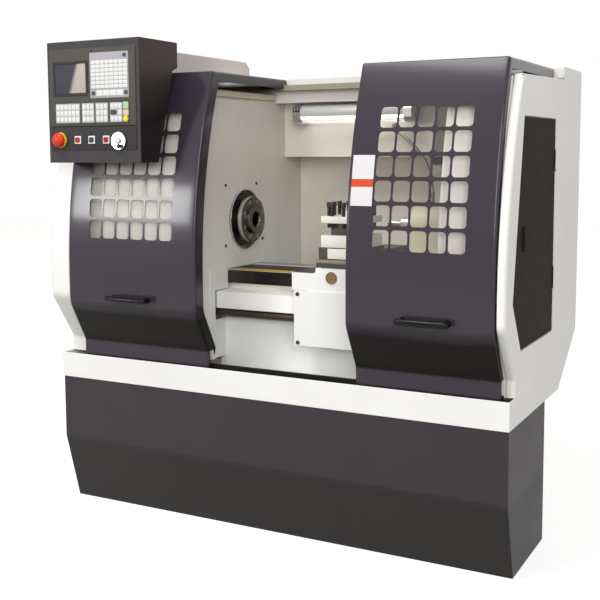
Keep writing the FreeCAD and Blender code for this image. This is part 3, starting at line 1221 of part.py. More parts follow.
def tailstock_handwheel():
    """Handwheel with spokes, grip and the screw shaft that drives the quill."""
    rim = Part.makeTorus(WHEEL_RADIUS, WHEEL_RIM, Vector(WHEEL_X, BED_CENTRE, SPINDLE_Z), Vector(1, 0, 0))
    hub = rod("x", (WHEEL_X - 18, BED_CENTRE, SPINDLE_Z), WHEEL_HUB, 30.0)
    shaft_left = QUILL_RIGHT - SCREW_BORE + 8.0
    shaft = rod("x", (shaft_left, BED_CENTRE, SPINDLE_Z), WHEEL_SHAFT, WHEEL_X - shaft_left)
    spokes = []
    for index in range(3):
        angle = 120.0 * index + 90.0
        spoke = rod("z", (WHEEL_X, BED_CENTRE, SPINDLE_Z), 6.0, WHEEL_RADIUS)
        spoke.rotate(Vector(WHEEL_X, BED_CENTRE, SPINDLE_Z), Vector(1, 0, 0), angle)
        spokes.append(spoke)
    grip = rod("x", (WHEEL_X, BED_CENTRE, SPINDLE_Z + WHEEL_RADIUS), WHEEL_GRIP, WHEEL_GRIP_LENGTH)
    return fused([hub, shaft, rim, grip] + spokes)


# ---------------------------------------------------------------- lamp and pipe
def lamp_tube():
    """Clear round tube of the work lamp."""
    return ring("x", (LAMP_LEFT + LAMP_CAP_WALL, LAMP_Y, LAMP_Z), LAMP_RADIUS - LAMP_CAP_WALL - PART_GAP,
                LAMP_RADIUS - LAMP_CAP_WALL - LAMP_WALL, LAMP_RIGHT - LAMP_LEFT - 2 * LAMP_CAP_WALL)


def lamp_caps():
    """End caps of the lamp, each with the arm that holds it on the housing."""
    caps = []
    for x, closed_x in ((LAMP_LEFT, LAMP_LEFT), (LAMP_RIGHT - LAMP_CAP, LAMP_RIGHT - LAMP_CAP_WALL)):
        cup = ring("x", (x, LAMP_Y, LAMP_Z), LAMP_RADIUS, LAMP_RADIUS - LAMP_CAP_WALL, LAMP_CAP)
        end = rod("x", (closed_x, LAMP_Y, LAMP_Z), LAMP_RADIUS, LAMP_CAP_WALL)
        arm = block(x + 6, x + LAMP_CAP - 6, LAMP_Y + LAMP_RADIUS - 4, HOUSING_FRONT, LAMP_Z - 12,
                    LAMP_Z + 12)
        arm = arm.cut(rod("x", (x, LAMP_Y, LAMP_Z), LAMP_RADIUS - 1, LAMP_CAP))
        caps.append(fused([cup, end, arm]))
    return Part.makeCompound(caps)


def pipe_path(points):
    """Return straight runs joined by tangent arcs, and print the arcs' radii."""
    corners = [Vector(*p) for p in points]
    edges = []
    start = corners[0]
    radii = []
    for before, corner, after in zip(corners, corners[1:], corners[2:]):
        way_in = (corner - before).normalize()
        way_out = (after - corner).normalize()
        turn = way_in.getAngle(way_out)
        shorter = min((corner - before).Length, (after - corner).Length)
        cut = 0.45 * shorter
        radius = cut / math.tan(turn / 2)
        radii.append(round(radius, 1))
        first = corner - way_in * cut
        last = corner + way_out * cut
        bisector = (way_out - way_in).normalize()
        centre = corner + bisector * (radius / math.cos(turn / 2))
        middle = centre - bisector * radius
        edges.append(Part.LineSegment(start, first).toShape())
        edges.append(Part.Arc(first, middle, last).toShape())
        start = last
    edges.append(Part.LineSegment(start, corners[-1]).toShape())
    print("pipe radii", radii)
    return Part.Wire(edges)


def coolant_pipe():
    """Bent metal pipe with its gland on the housing and a nozzle at its lower end."""
    path = pipe_path(PIPE_ROUTE)
    first, second = Vector(*PIPE_ROUTE[0]), Vector(*PIPE_ROUTE[1])
    circle = Part.Wire([Part.makeCircle(PIPE_RADIUS, first, second - first)])
    pipe = path.makePipeShell([circle], True, False)
    gland = rod("y", (first.x, HOUSING_FRONT - GLAND_LENGTH, first.z), GLAND_RADIUS, GLAND_LENGTH)
    end = Vector(*PIPE_ROUTE[-1])
    along = (end - Vector(*PIPE_ROUTE[-2])).normalize()
    nozzle = Part.makeCone(NOZZLE_RADIUS, PIPE_RADIUS - 2, NOZZLE_LENGTH, end - along * 20.0, along)
    section = math.pi * PIPE_RADIUS ** 2
    print("pipe volume", round(pipe.Volume), "section times length", round(section * path.Length))
    return fused([pipe, gland, nozzle])


# ---------------------------------------------------------------- control box
def control_box():
    """Folded box with a slanted back and an opening for its front panel."""
    def outline(t):
        return [
            (BOX_FRONT + t, BOX_BOTTOM + t), (BOX_FRONT + t, BOX_TOP - t), (BOX_REAR - t, BOX_TOP - t),
            (BOX_REAR - t, BOX_SHOULDER_HIGH + t), (BOX_SHOULDER_Y - t, BOX_SHOULDER_LOW + t),
            (BOX_LOWER_REAR - t, BOX_BOTTOM + t),
        ]
    shell = prism_x(outline(0), BOX_LEFT, BOX_RIGHT)
    shell = shell.cut(prism_x(outline(BOX_SHEET), BOX_LEFT + BOX_SHEET, BOX_RIGHT - BOX_SHEET))
    lip = 10.0
    opening = block(PANEL_LEFT + lip, PANEL_RIGHT - lip, BOX_FRONT - 1, BOX_FRONT + BOX_SHEET + 1,
                    PANEL_BOTTOM + lip, PANEL_TOP - lip)
    return shell.cut(opening)


panel_front = BOX_FRONT - PANEL_THICK
panel_back = BOX_FRONT


def panel_field(field, grow, y0, y1):
    """Return a block over one field of the panel, grown sideways, between two depths."""
    x, z, width, height = field
    half_width, half_height = width / 2 + grow, height / 2 + grow
    return block(x - half_width, x + half_width, y0, y1, z - half_height, z + half_height)


def panel_plate():
    """Panel plate in two fields with holes for what is mounted in it."""
    plate = block(PANEL_LEFT, PANEL_RIGHT, panel_front, panel_back, PANEL_BOTTOM, PANEL_TOP)
    groove = block(PANEL_LEFT, PANEL_RIGHT, panel_front, panel_front + 1.0, PANEL_SPLIT - 1.0,
                   PANEL_SPLIT + 1.0)
    window = panel_field(SCREEN, 0, panel_front - 1, panel_back + 1)
    key_field = panel_field(KEYPAD, 0, panel_front - 1, panel_front + KEY_SINK)
    holes = [
        rod("y", (STOP_X, panel_front - 1, BUTTON_Z), STOP_STEM + RUN, 10.0),
        rod("y", (DIAL_X, panel_front - 1, DIAL_Z), DIAL_STEM + RUN, 10.0),
    ]
    half = BUTTON_SIDE / 2 + RUN
    for bx in BUTTON_XS.values():
        holes.append(block(bx - half, bx + half, panel_front - 1, panel_back + 1, BUTTON_Z - half,
                           BUTTON_Z + half))
    screws = []
    for sx in (PANEL_LEFT + 8.0, (PANEL_LEFT + PANEL_RIGHT) / 2, PANEL_RIGHT - 8.0):
        for sz in (PANEL_BOTTOM + 7.0, PANEL_TOP - 7.0):
            screws.append(rod("y", (sx, panel_front - 1.5, sz), 3.5, 2.0))
    return fused([plate.cut([groove, window, key_field] + holes)] + screws)


def screen():
    """Display behind the panel's window, set back from its front."""
    glass = panel_field(SCREEN, 0, panel_front + 1.5, panel_back + BOX_SHEET)
    body = panel_field(SCREEN, 2.0, panel_back + BOX_SHEET, panel_back + SCREEN_DEPTH)
    return fused([glass, body])


def keypads():
    """Membrane keypad beside the screen and the long operator keypad below, with raised key fields."""
    main = panel_field(KEYPAD, 0, panel_front + KEY_SINK - KEYPAD_THICK, panel_front + KEY_SINK)
    strip = panel_field(STRIP, 0, panel_front - KEYPAD_THICK, panel_front)
    return Part.makeCompound([main, strip])


def panel_bezels():
    """Yellow ring of the stop button, square bezels of the push buttons and the dial's ring."""
    pieces = [ring("y", (STOP_X, panel_front - 3.0, BUTTON_Z), STOP_RING, STOP_STEM + 1.0, 3.0)]
    inner = BUTTON_SIDE / 2 + RUN
    outer = BEZEL_SIDE / 2
    for bx in BUTTON_XS.values():
        frame = block(bx - outer, bx + outer, panel_front - BEZEL_PROUD, panel_front, BUTTON_Z - outer,
                      BUTTON_Z + outer)
        hole = block(bx - inner, bx + inner, panel_front - 10, panel_front + 1, BUTTON_Z - inner,
                     BUTTON_Z + inner)
        pieces.append(frame.cut(hole))
    pieces.append(ring("y", (DIAL_X, panel_front - 4.0, DIAL_Z), DIAL_RING, DIAL_STEM + 1.0, 4.0))
    return Part.makeCompound(pieces)


def emergency_stop():
    """Mushroom head on its stem."""
    head_back = panel_front - 3.0 - STOP_TRAVEL - SLIDE
    head_front = head_back - (STOP_HEIGHT - 8.0)
    head = rod("y", (STOP_X, head_front, BUTTON_Z), STOP_RADIUS, head_back - head_front)
    edges = [e for e in head.Edges if abs(e.BoundBox.YMax - head_front) < 0.01]
    head = head.makeFillet(7.0, edges)
    stem = rod("y", (STOP_X, head_back - 1, BUTTON_Z), STOP_STEM, panel_back + 12.0 - head_back)
    return head.fuse(stem).removeSplitter()


def push_button(centre_x):
    """Square push button in its bezel."""
    half = BUTTON_SIDE / 2
    body = block(centre_x - half, centre_x + half, panel_front - BUTTON_PROUD, panel_front + BUTTON_DEPTH,
                 BUTTON_Z - half, BUTTON_Z + half)
    edges = [e for e in body.Edges if e.BoundBox.YMax < panel_front - BUTTON_PROUD + 0.01]
    return body.makeFillet(1.2, edges)


def hand_dial():
    """Pulse dial with its crank knob and stem."""
    back = panel_front - 4.0 - SLIDE
    front = back - DIAL_THICK
    disc = rod("y", (DIAL_X, front, DIAL_Z), DIAL_RADIUS, DIAL_THICK)
    edges = [e for e in disc.Edges if abs(e.BoundBox.YMax - front) < 0.01]
    disc = disc.makeFillet(3.0, edges)
    dish = rod("y", (DIAL_X, front - 1, DIAL_Z), DIAL_RADIUS - 8.0, 4.0)
    hub = rod("y", (DIAL_X, front - 2, DIAL_Z), 9.0, 6.0)
    knob_front = front - DIAL_KNOB_LENGTH + 4.0
    knob = rod("y", (DIAL_X + 8.0, knob_front, DIAL_Z - 17.0), DIAL_KNOB, DIAL_KNOB_LENGTH)
    stem = rod("y", (DIAL_X, back - 1, DIAL_Z), DIAL_STEM, panel_back + 12.0 - back)
    return fused([disc.cut(dish), hub, knob, stem])


# ---------------------------------------------------------------- build
left_centre = (left_door_left + left_door_right) / 2
right_centre = (right_door_left + right_door_right) / 2

nodes = {
    "base_cabinet": base_cabinet(),
    "chip_tray": chip_tray(),
    "bed": bed(),
    "headstock_casting": headstock_casting(),
    "spindle": spindle(),
    "spindle_bearings": spindle_bearings(),
    "bearing_cap": bearing_cap(),
    "spindle_pulley": spindle_pulley(),
    "motor_pulley": motor_pulley(),
    "drive_belt": drive_belt(),
    "main_motor": main_motor(),
    "left_end_cover": end_cover(-1, LEFT_STRIP),
    "right_end_cover": end_cover(1, RIGHT_STRIP),
    "left_access_door": access_door(-1),
    "right_access_door": access_door(1),
    "access_hinges": access_hinges(),
    "front_panels": front_panels(),
    "headstock_wall": headstock_wall(),
    "rear_cover": rear_cover(),
    "back_wall": back_wall(),
    "top_beam": top_beam(),
    "roof_panels": roof_panels(),
    "door_rails": door_rails(),
    "carrier_housing": carrier_housing(),
    "left_door_shell": door_shell(left_door_left, left_door_right, LEFT_COLUMNS, 1),
    "left_door_pane": door_pane(left_door_left, left_door_right, LEFT_COLUMNS),
    "left_door_handle": door_handle(left_centre + 2.5),
    "right_door_shell": door_shell(right_door_left, right_door_right, RIGHT_COLUMNS, -1),
    "right_door_pane": door_pane(right_door_left, right_door_right, RIGHT_COLUMNS),
    "right_door_handle": door_handle(right_centre + 25.0),
    "saddle": saddle(),
    "apron_cover": apron_cover(),
    "oil_cap": oil_cap(),
    "z_nut": z_nut(),
    "z_screw": z_screw(),
    "z_motor": z_motor(),
    "screw_cover": screw_cover(),
    "cross_slide": cross_slide(),
    "x_screw": x_screw(),
    "x_motor": x_motor(),
    "tool_post_base": tool_post_base(),
    "turret_block": turret_block(),
    "clamp_bolts": clamp_bolts(),
    "tailstock_body": tailstock_body(),
    "quill": quill(),
    "tailstock_centre": tailstock_centre(),
    "tailstock_handwheel": tailstock_handwheel(),
    "lamp_tube": lamp_tube(),
    "lamp_caps": lamp_caps(),
    "coolant_pipe": coolant_pipe(),
    "control_box": control_box(),
    "panel_plate": panel_plate(),
    "screen": screen(),
    "keypads": keypads(),
    "panel_bezels": panel_bezels(),
    "emergency_stop": emergency_stop(),
    "hand_dial": hand_dial(),
}
for button, button_x in BUTTON_XS.items():
    nodes[button] = push_button(button_x)

for node_name, node_shape in nodes.items():
    save(node_shape, node_name)
print(len(nodes), "nodes")
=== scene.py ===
"""Looks of a CNC turning lathe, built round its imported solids.

Sizes in the classes are millimetres in the frame of the solids: X from headstock to
tailstock, Y to the back of the machine, Z up. They turn into metres where a mesh is made.
"""
import json
import logging
import math
from dataclasses import dataclass
from enum import IntEnum
from functools import reduce
from typing import Sequence

import bmesh
import bpy
import numpy as np
from mathutils import Matrix, Vector

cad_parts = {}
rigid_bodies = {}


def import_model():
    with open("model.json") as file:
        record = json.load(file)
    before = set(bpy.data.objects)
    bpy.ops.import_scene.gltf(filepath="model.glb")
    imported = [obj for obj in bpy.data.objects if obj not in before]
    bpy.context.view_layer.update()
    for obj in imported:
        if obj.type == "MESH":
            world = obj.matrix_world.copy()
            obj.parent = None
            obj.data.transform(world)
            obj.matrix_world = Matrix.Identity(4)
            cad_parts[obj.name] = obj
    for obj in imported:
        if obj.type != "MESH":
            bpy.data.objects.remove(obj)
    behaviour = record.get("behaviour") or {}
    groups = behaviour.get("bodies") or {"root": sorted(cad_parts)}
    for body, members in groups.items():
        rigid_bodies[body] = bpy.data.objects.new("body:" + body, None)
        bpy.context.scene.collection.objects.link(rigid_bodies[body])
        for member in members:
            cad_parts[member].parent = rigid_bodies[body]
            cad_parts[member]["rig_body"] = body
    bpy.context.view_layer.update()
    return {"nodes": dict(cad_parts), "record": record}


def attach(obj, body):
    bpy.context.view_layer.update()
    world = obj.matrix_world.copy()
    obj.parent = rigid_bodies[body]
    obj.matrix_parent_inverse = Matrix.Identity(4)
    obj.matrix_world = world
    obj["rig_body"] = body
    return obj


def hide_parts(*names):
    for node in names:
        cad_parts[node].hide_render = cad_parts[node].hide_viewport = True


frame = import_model()

MM = 0.001
SLOTS = {part["node"]: part["material_slot"] for part in frame["record"]["subparts"]}
WHITE = (1.0, 1.0, 1.0, 1.0)
# Kinds of sizes: some numbers, two of them, several points, and the rows of a table.
Numbers = Sequence[float]
Pair = tuple[float, float]
Places = tuple[Numbers, ...]
Rows = tuple[tuple[object, ...], ...]
Socket = bpy.types.NodeSocket
log = logging.getLogger("lathe")


def in_scene(name: str, data: bpy.types.ID) -> bpy.types.Object:
    """Puts new data in the scene as an object.

    Args:
        name: the object's name.
        data: its mesh, camera or light.

    Returns:
        The object.
    """
    thing = bpy.data.objects.new(name, data)
    bpy.context.scene.collection.objects.link(thing)
    return thing


@dataclass(frozen=True)
class PhotoCamera:
    """Camera at the photograph's place, in metres and radians."""

    place: Numbers = (1.6473, -3.0761, 1.3085)
    yaw: float = 0.4860
    pitch: float = 0.0989
    roll: float = -0.0052
    lens: float = 59.72
    shift_y: float = -0.0833
    clip: Pair = (0.05, 100.0)

    def build(self) -> None:
        """Makes the camera and hands it to the scene."""
        sin, cos = math.sin(self.yaw), math.cos(self.yaw)
        flat = math.cos(self.pitch)
        ahead = Vector((-sin * flat, cos * flat, -math.sin(self.pitch)))
        level = Vector((cos, sin, 0.0))
        upward = level.cross(ahead)
        right = level * math.cos(self.roll) + upward * math.sin(self.roll)
        up = -level * math.sin(self.roll) + upward * math.cos(self.roll)
        data = bpy.data.cameras.new("photo_camera")
        data.lens, data.shift_y = self.lens, self.shift_y
        data.clip_start, data.clip_end = self.clip
        camera = in_scene("photo_camera", data)
        turn = Matrix((right, up, -ahead)).transposed().to_4x4()
        camera.matrix_world = Matrix.Translation(self.place) @ turn
        bpy.context.scene.camera = camera


# ------------------------------------------------------------------ finishes
def ink(code: str) -> Numbers:
    """Turns a six-digit colour code into linear red, green, blue and a full alpha.

    Args:
        code: the colour as it looks on a screen, such as "#4a4453".

    Returns:
        The four values.
    """
    parts = [int(code[i:i + 2], 16) / 255 for i in (1, 3, 5)]
    linear = [p / 12.92 if p <= 0.04045 else ((p + 0.055) / 1.055) ** 2.4 for p in parts]
    return (*linear, 1.0)


class Graph:
    """The nodes of one material or of the surroundings, under construction."""

    def __init__(self, owner: bpy.types.Material | bpy.types.World, shader: str) -> None:
        """Opens an owner's nodes and finds its shader by name.

        Args:
            owner: the material or the surroundings.
            shader: its shader node's name.
        """
        owner.use_nodes = True
        self.tree = owner.node_tree
        self.shader = self.tree.nodes[shader]
        self.place = self.node("TexCoord")["Object"]

    def fill(self, node: bpy.types.Node, values: dict[int | str, object]) -> None:
        """Fills sockets of a node.

        Args:
            node: the node.
            values: for each socket's index or name, a value or an output to link.
        """
        for key, value in values.items():
            if isinstance(value, Socket):
                self.tree.links.new(value, node.inputs[key])
            else:
                node.inputs[key].default_value = value

    def node(self, kind: str, *first: object, **named: object) -> bpy.types.NodeOutputs:
        """Adds a node.

        Args:
            kind: its type, without the word that all shader nodes start with.
            first: values or outputs for its first sockets.
            named: values or outputs for sockets by name.

        Returns:
            Its outputs.
        """
        made = self.tree.nodes.new("ShaderNode" + kind)
        self.fill(made, dict(enumerate(first)) | named)
        return made.outputs

    def noise(self, scale: float, detail: float = 3.0, stretch: Numbers = (1, 1, 1)) -> Socket:
        """Adds a noise pattern on Object coordinates.

        Args:
            scale: repeats per metre.
            detail: how many finer layers it has.
            stretch: how much closer the pattern lies along each axis.

        Returns:
            The pattern's value from 0 to 1.
        """
        place = self.node("Mapping", Vector=self.place, Scale=stretch)[0]
        return self.node("TexNoise", Vector=place, Scale=scale, Detail=detail)[0]

    def span(self, value: Socket, low: float, high: float, start: float = 0.3,
             end: float = 0.7) -> Socket:
        """Maps a value from start..end to low..high and holds it there."""
        return self.node("MapRange", value, start, end, low, high)[0]

    def spread(self, value: Socket, middle: float, width: float) -> Socket:
        """Maps a pattern to a band of some width round a middle."""
        return self.span(value, middle - width / 2, middle + width / 2)

    def math(self, operation: str, first: object, second: object) -> Socket:
        """Combines two values by an arithmetic operation.

        Args:
            operation: its name, such as "ADD".
            first: a value or an output.
            second: another.

        Returns:
            The result.
        """
        out = self.node("Math", first, second)[0]
        out.node.operation = operation
        return out

    def blend(self, share: object, first: object, second: object) -> Socket:
        """Mixes two colours.

        Args:
            share: how much of the second there is.
            first: a colour or an output.
            second: another.

        Returns:
            The mixed colour.
        """
        made = self.node("Mix", share)[0].node
        made.data_type = "RGBA"
        self.fill(made, {6: first, 7: second})
        return made.outputs[2]

    def split(self) -> bpy.types.NodeOutputs:
        """Gives X, Y and Z of the place."""
        return self.node("SeparateXYZ", self.place)

    def coloured(self, colour: Socket, gloss: Socket) -> None:
        """Links a colour and a roughness to the shader."""
        self.fill(self.shader, {"Base Color": colour, "Roughness": gloss})

    def bumped(self, height: Socket, depth: float) -> None:
        """Raises the surface by a pattern, depth in millimetres."""
        bump = self.node("Bump", Strength=1.0, Distance=depth * MM, Height=height)
        self.fill(self.shader, {"Normal": bump[0]})


@dataclass(frozen=True)
class Finish:
    """One surface finish: a base colour that drifts a little, a gloss and a fine grain."""

    name: str
    code: str
    slot: str
    roughness: float = 0.4
    metallic: float = 0.0
    coat: float = 0.0
    coat_roughness: float = 0.08
    specular: float = 0.5
    drift: float = 0.06         # share by which the colour darkens in patches
    drift_scale: float = 5.0
    grain_scale: float = 450.0
    grain: float = 0.02         # depth of the grain
    band: float = 0.06          # how far the roughness varies
    stretch: Numbers = (1, 1, 1)
    glow: float = 0.0

    def darker(self, share: float) -> Numbers:
        """Gives the colour with a share of its light taken away."""
        return (*(c * (1 - share) for c in ink(self.code)[:3]), 1.0)

    def material(self) -> bpy.types.Material:
        """Gives the finish's material, and builds it the first time."""
        return bpy.data.materials.get(self.name) or self.built()

    def built(self) -> bpy.types.Material:
        """Builds what is the same all over, and then what varies.

        Returns:
            The material.
        """
        material = bpy.data.materials.new(self.name)
        graph = Graph(material, "Principled BSDF")
        even = {"Metallic": self.metallic, "Coat Weight": self.coat,
                "Coat Roughness": self.coat_roughness, "Specular IOR Level": self.specular}
        if self.glow:
            even |= {"Emission Color": ink(self.code), "Emission Strength": self.glow}
        graph.fill(graph.shader, even)
        self.vary(graph)
        return material

    def vary(self, graph: Graph) -> None:
        """Adds patches of drift, a varying gloss and a grain.

        Args:
            graph: the material's nodes.
        """
        patches = graph.noise(self.drift_scale, 4.0, self.stretch)
        fine = graph.noise(self.grain_scale, 2.0, self.stretch)
        both = graph.math("ADD", graph.math("MULTIPLY", patches, 0.7),
                          graph.math("MULTIPLY", fine, 0.3))
        gloss = graph.noise(self.drift_scale * 6, 3.0, self.stretch)
        graph.coloured(graph.blend(graph.span(both, 0, 1), ink(self.code), self.darker(self.drift)),
                       graph.spread(gloss, self.roughness, self.band))
        graph.bumped(fine, self.grain)


@dataclass(frozen=True)
class ShadedPaint(Finish):
    """Paint whose colour changes with height: painted shade on the doors' slopes, the cabinet's toe
    and the control box's side, and painted light on the lower headstock wall.
    """

    low_code: str = "#808080"
    low: float = 0.6
    high: float = 0.9
    foot: float = -1.0          # below this height the colour is the upper one again

    def vary(self, graph: Graph) -> None:
        """Adds a soft change from the low colour to the colour between two heights.

        Args:
            graph: the material's nodes.
        """
        height = graph.split()[2]
        patches = graph.noise(self.drift_scale, 4.0)
        edge = graph.math("ADD", height, graph.math("MULTIPLY", patches, 0.02))
        share = graph.span(edge, 0, 1, self.low + 0.01, self.high + 0.01)
        upright = graph.span(height, 1, 0, self.foot - 0.004, self.foot + 0.004)
        share = graph.math("MAXIMUM", share, graph.math("MULTIPLY", upright, 0.85))
        tone = graph.blend(share, ink(self.low_code), ink(self.code))
        graph.coloured(graph.blend(graph.span(patches, 0, self.drift), tone, (0, 0, 0, 1)),
                       graph.spread(patches, self.roughness, self.band))
        # The coat follows the same share, so the painted shade on the lower part also loses its
        # reflection.
        if self.coat:
            coat = graph.math("MULTIPLY", share, self.coat)
            graph.fill(graph.shader, {"Coat Weight": coat})
        graph.bumped(graph.noise(self.grain_scale, 2.0), self.grain)


@dataclass(frozen=True)
class WornMetal(Finish):
    """Machined metal with directional lines and darker stains."""

    stain: Numbers = (0.2, 0.17, 0.12, 1.0)
    stained: float = 0.25

    def vary(self, graph: Graph) -> None:
        """Adds tool marks along the stretch and soft stains over them.

        Args:
            graph: the material's nodes.
        """
        marks = graph.noise(self.grain_scale, 2.0, self.stretch)
        stains = graph.noise(self.drift_scale, 5.0)
        tone = graph.blend(graph.span(marks, 0, 1), ink(self.code), self.darker(self.drift))
        gloss = graph.math("ADD", graph.spread(marks, self.roughness, 2 * self.band),
                           graph.span(stains, 0, 0.1, 0.45, 0.75))
        stains = graph.span(stains, 0, self.stained, 0.45, 0.75)
        graph.coloured(graph.blend(stains, tone, self.stain), gloss)
        graph.bumped(marks, self.grain)


@dataclass(frozen=True)
class ClearSheet(Finish):
    """Clear plastic that lets light through and mirrors more at a slant."""

    tint: Numbers = (1.0, 0.995, 0.985, 1.0)
    least: float = 0.04

    def vary(self, graph: Graph) -> None:
        """Adds a see-through shader under a glossy one.

        Args:
            graph: the material's nodes.
        """
        fine = graph.noise(self.grain_scale, 2.0)
        graph.coloured(graph.blend(fine, ink(self.code), self.darker(self.drift)),
                       graph.span(fine, self.roughness, self.roughness + self.band))
        facing = graph.node("LayerWeight", 0.25)["Fresnel"]
        share = graph.math("ADD", graph.math("MULTIPLY", facing, 0.8), self.least)
        clear = graph.node("BsdfTransparent", self.tint)[0]
        mixed = graph.node("MixShader", share, clear, graph.shader.outputs[0])[0]
        graph.fill(graph.tree.nodes["Material Output"], {"Surface": mixed})


@dataclass(frozen=True)
class ScreenWithPaintedReflection(Finish):
    """Dark display under glass with a painted reflection: paler on one side of a slanting line."""

    # pale is the colour of the painted reflection; edge, lean and middle place its slanting border.
    pale: str = "#b8b0a8"
    edge: float = -0.645
    lean: float = 0.33
    middle: float = 1.56

    def vary(self, graph: Graph) -> None:
        """Adds the painted reflection: two tones on either side of x = edge + lean (z - middle).

        Args:
            graph: the material's nodes.
        """
        x, _, z = graph.split()
        rise = graph.math("MULTIPLY", graph.math("SUBTRACT", z, self.middle), self.lean)
        across = graph.math("SUBTRACT", graph.math("SUBTRACT", x, self.edge), rise)
        cloud = graph.noise(30.0)
        tone = graph.blend(graph.span(across, 0, 1, -0.008, 0.008), ink(self.code), ink(self.pale))
        graph.coloured(graph.blend(graph.span(cloud, 0, self.drift), tone, self.darker(0.5)),
                       graph.span(cloud, self.roughness, self.roughness + self.band))


ALONG_X = (0.06, 1.0, 1.0)      # draws a pattern out along X
ROUGH_CAST = {"grain": 0.12, "grain_scale": 260.0}
PAINTS = {                      # slot: (finish, colour, roughness)
    "handle_black": (("shoe_nylon", "#2a2a2a", 0.6), ("plug_black", "#151515", 0.5)),
    "white_paint": (
        ("cover_white", "#f5f4f0", 0.4), ("tray_white", "#f4f4f2", 0.4),
        ("beam_white", "#efede8", 0.4), ("screw_cover_white", "#fafaf7", 0.35),
        ("label_white", "#dddbdd", 0.4), ("label_orange", "#d0400f", 0.4)),
    "housing_paint": (("housing_grey", "#c9c3bc", 0.45),),
    "interior_paint": (
        ("wall_grey", "#f6f0e5", 0.5), ("strip_beige", "#cfc4ac", 0.45),
        # The near-black roof colour is painted shade under the doors' top plates.
        ("panel_white", "#ebe7e2", 0.5), ("roof_shade_dark", "#2a2724", 0.5)),
    "access_paint": (("hinge_black", "#2a2827", 0.4),),
    "black_steel": (("screw_black", "#1b1b1c", 0.4), ("bolt_black", "#1a191a", 0.4)),
    "cast_paint": (("saddle_white", "#f4f4f2", 0.4), ("post_cream", "#f0eee2", 0.4)),
    "key_film": (
        ("key_white", "#dfdfdd", 0.5), ("card_white", "#adadab", 0.5),
        ("keypad_lilac", "#a4a2a8", 0.5), ("key_black", "#222023", 0.5),
        ("key_green", "#9fc79c", 0.5), ("key_pink", "#e6b3a8", 0.5),
        ("knob_yellow", "#e0d420", 0.35)),
    "bezel_trim": (("collar_yellow", "#e8b92e", 0.35), ("bezel_white", "#e6e3de", 0.4)),
}
METALS = {                      # slot: (finish, colour, roughness, metallic, stained)
    "spindle_steel": (
        # The pale turned steel is partly polished metal and partly a painted highlight, on the
        # nose's band and the wall hole's rim.
        ("spindle_bright", "#64625a", 0.22, 1.0, 0.2), ("polished_highlight", "#c9c8c0", 0.18, 0.8, 0.1),
        ("stud_steel", "#8f8c86", 0.3, 1.0, 0.25), ("bearing_steel", "#a09e98", 0.3, 1.0, 0.25),
        ("quill_steel", "#b5b3ad", 0.3, 1.0, 0.25)),
    "black_steel": (
        ("cap_steel", "#3a3935", 0.4, 0.8, 0.25), ("pulley_iron", "#6f6d69", 0.4, 1.0, 0.25),
        ("post_dark", "#3f3b33", 0.4, 0.3, 0.25)),
    "brass": (("cap_brass", "#7a6446", 0.42, 0.6, 0.25),),
    "screw_steel": (("dark_screw", "#4a4232", 0.38, 0.6, 0.25),),
    "chrome_trim": (
        ("cap_chrome", "#c9c9c8", 0.16, 1.0, 0.05), ("reflector", "#d5d5d0", 0.3, 1.0, 0.05),
        ("pipe_steel", "#8b8a84", 0.3, 1.0, 0.25)),
    "dial_silver": (("dial_chrome", "#b2b2b0", 0.22, 0.9, 0.1),),
}
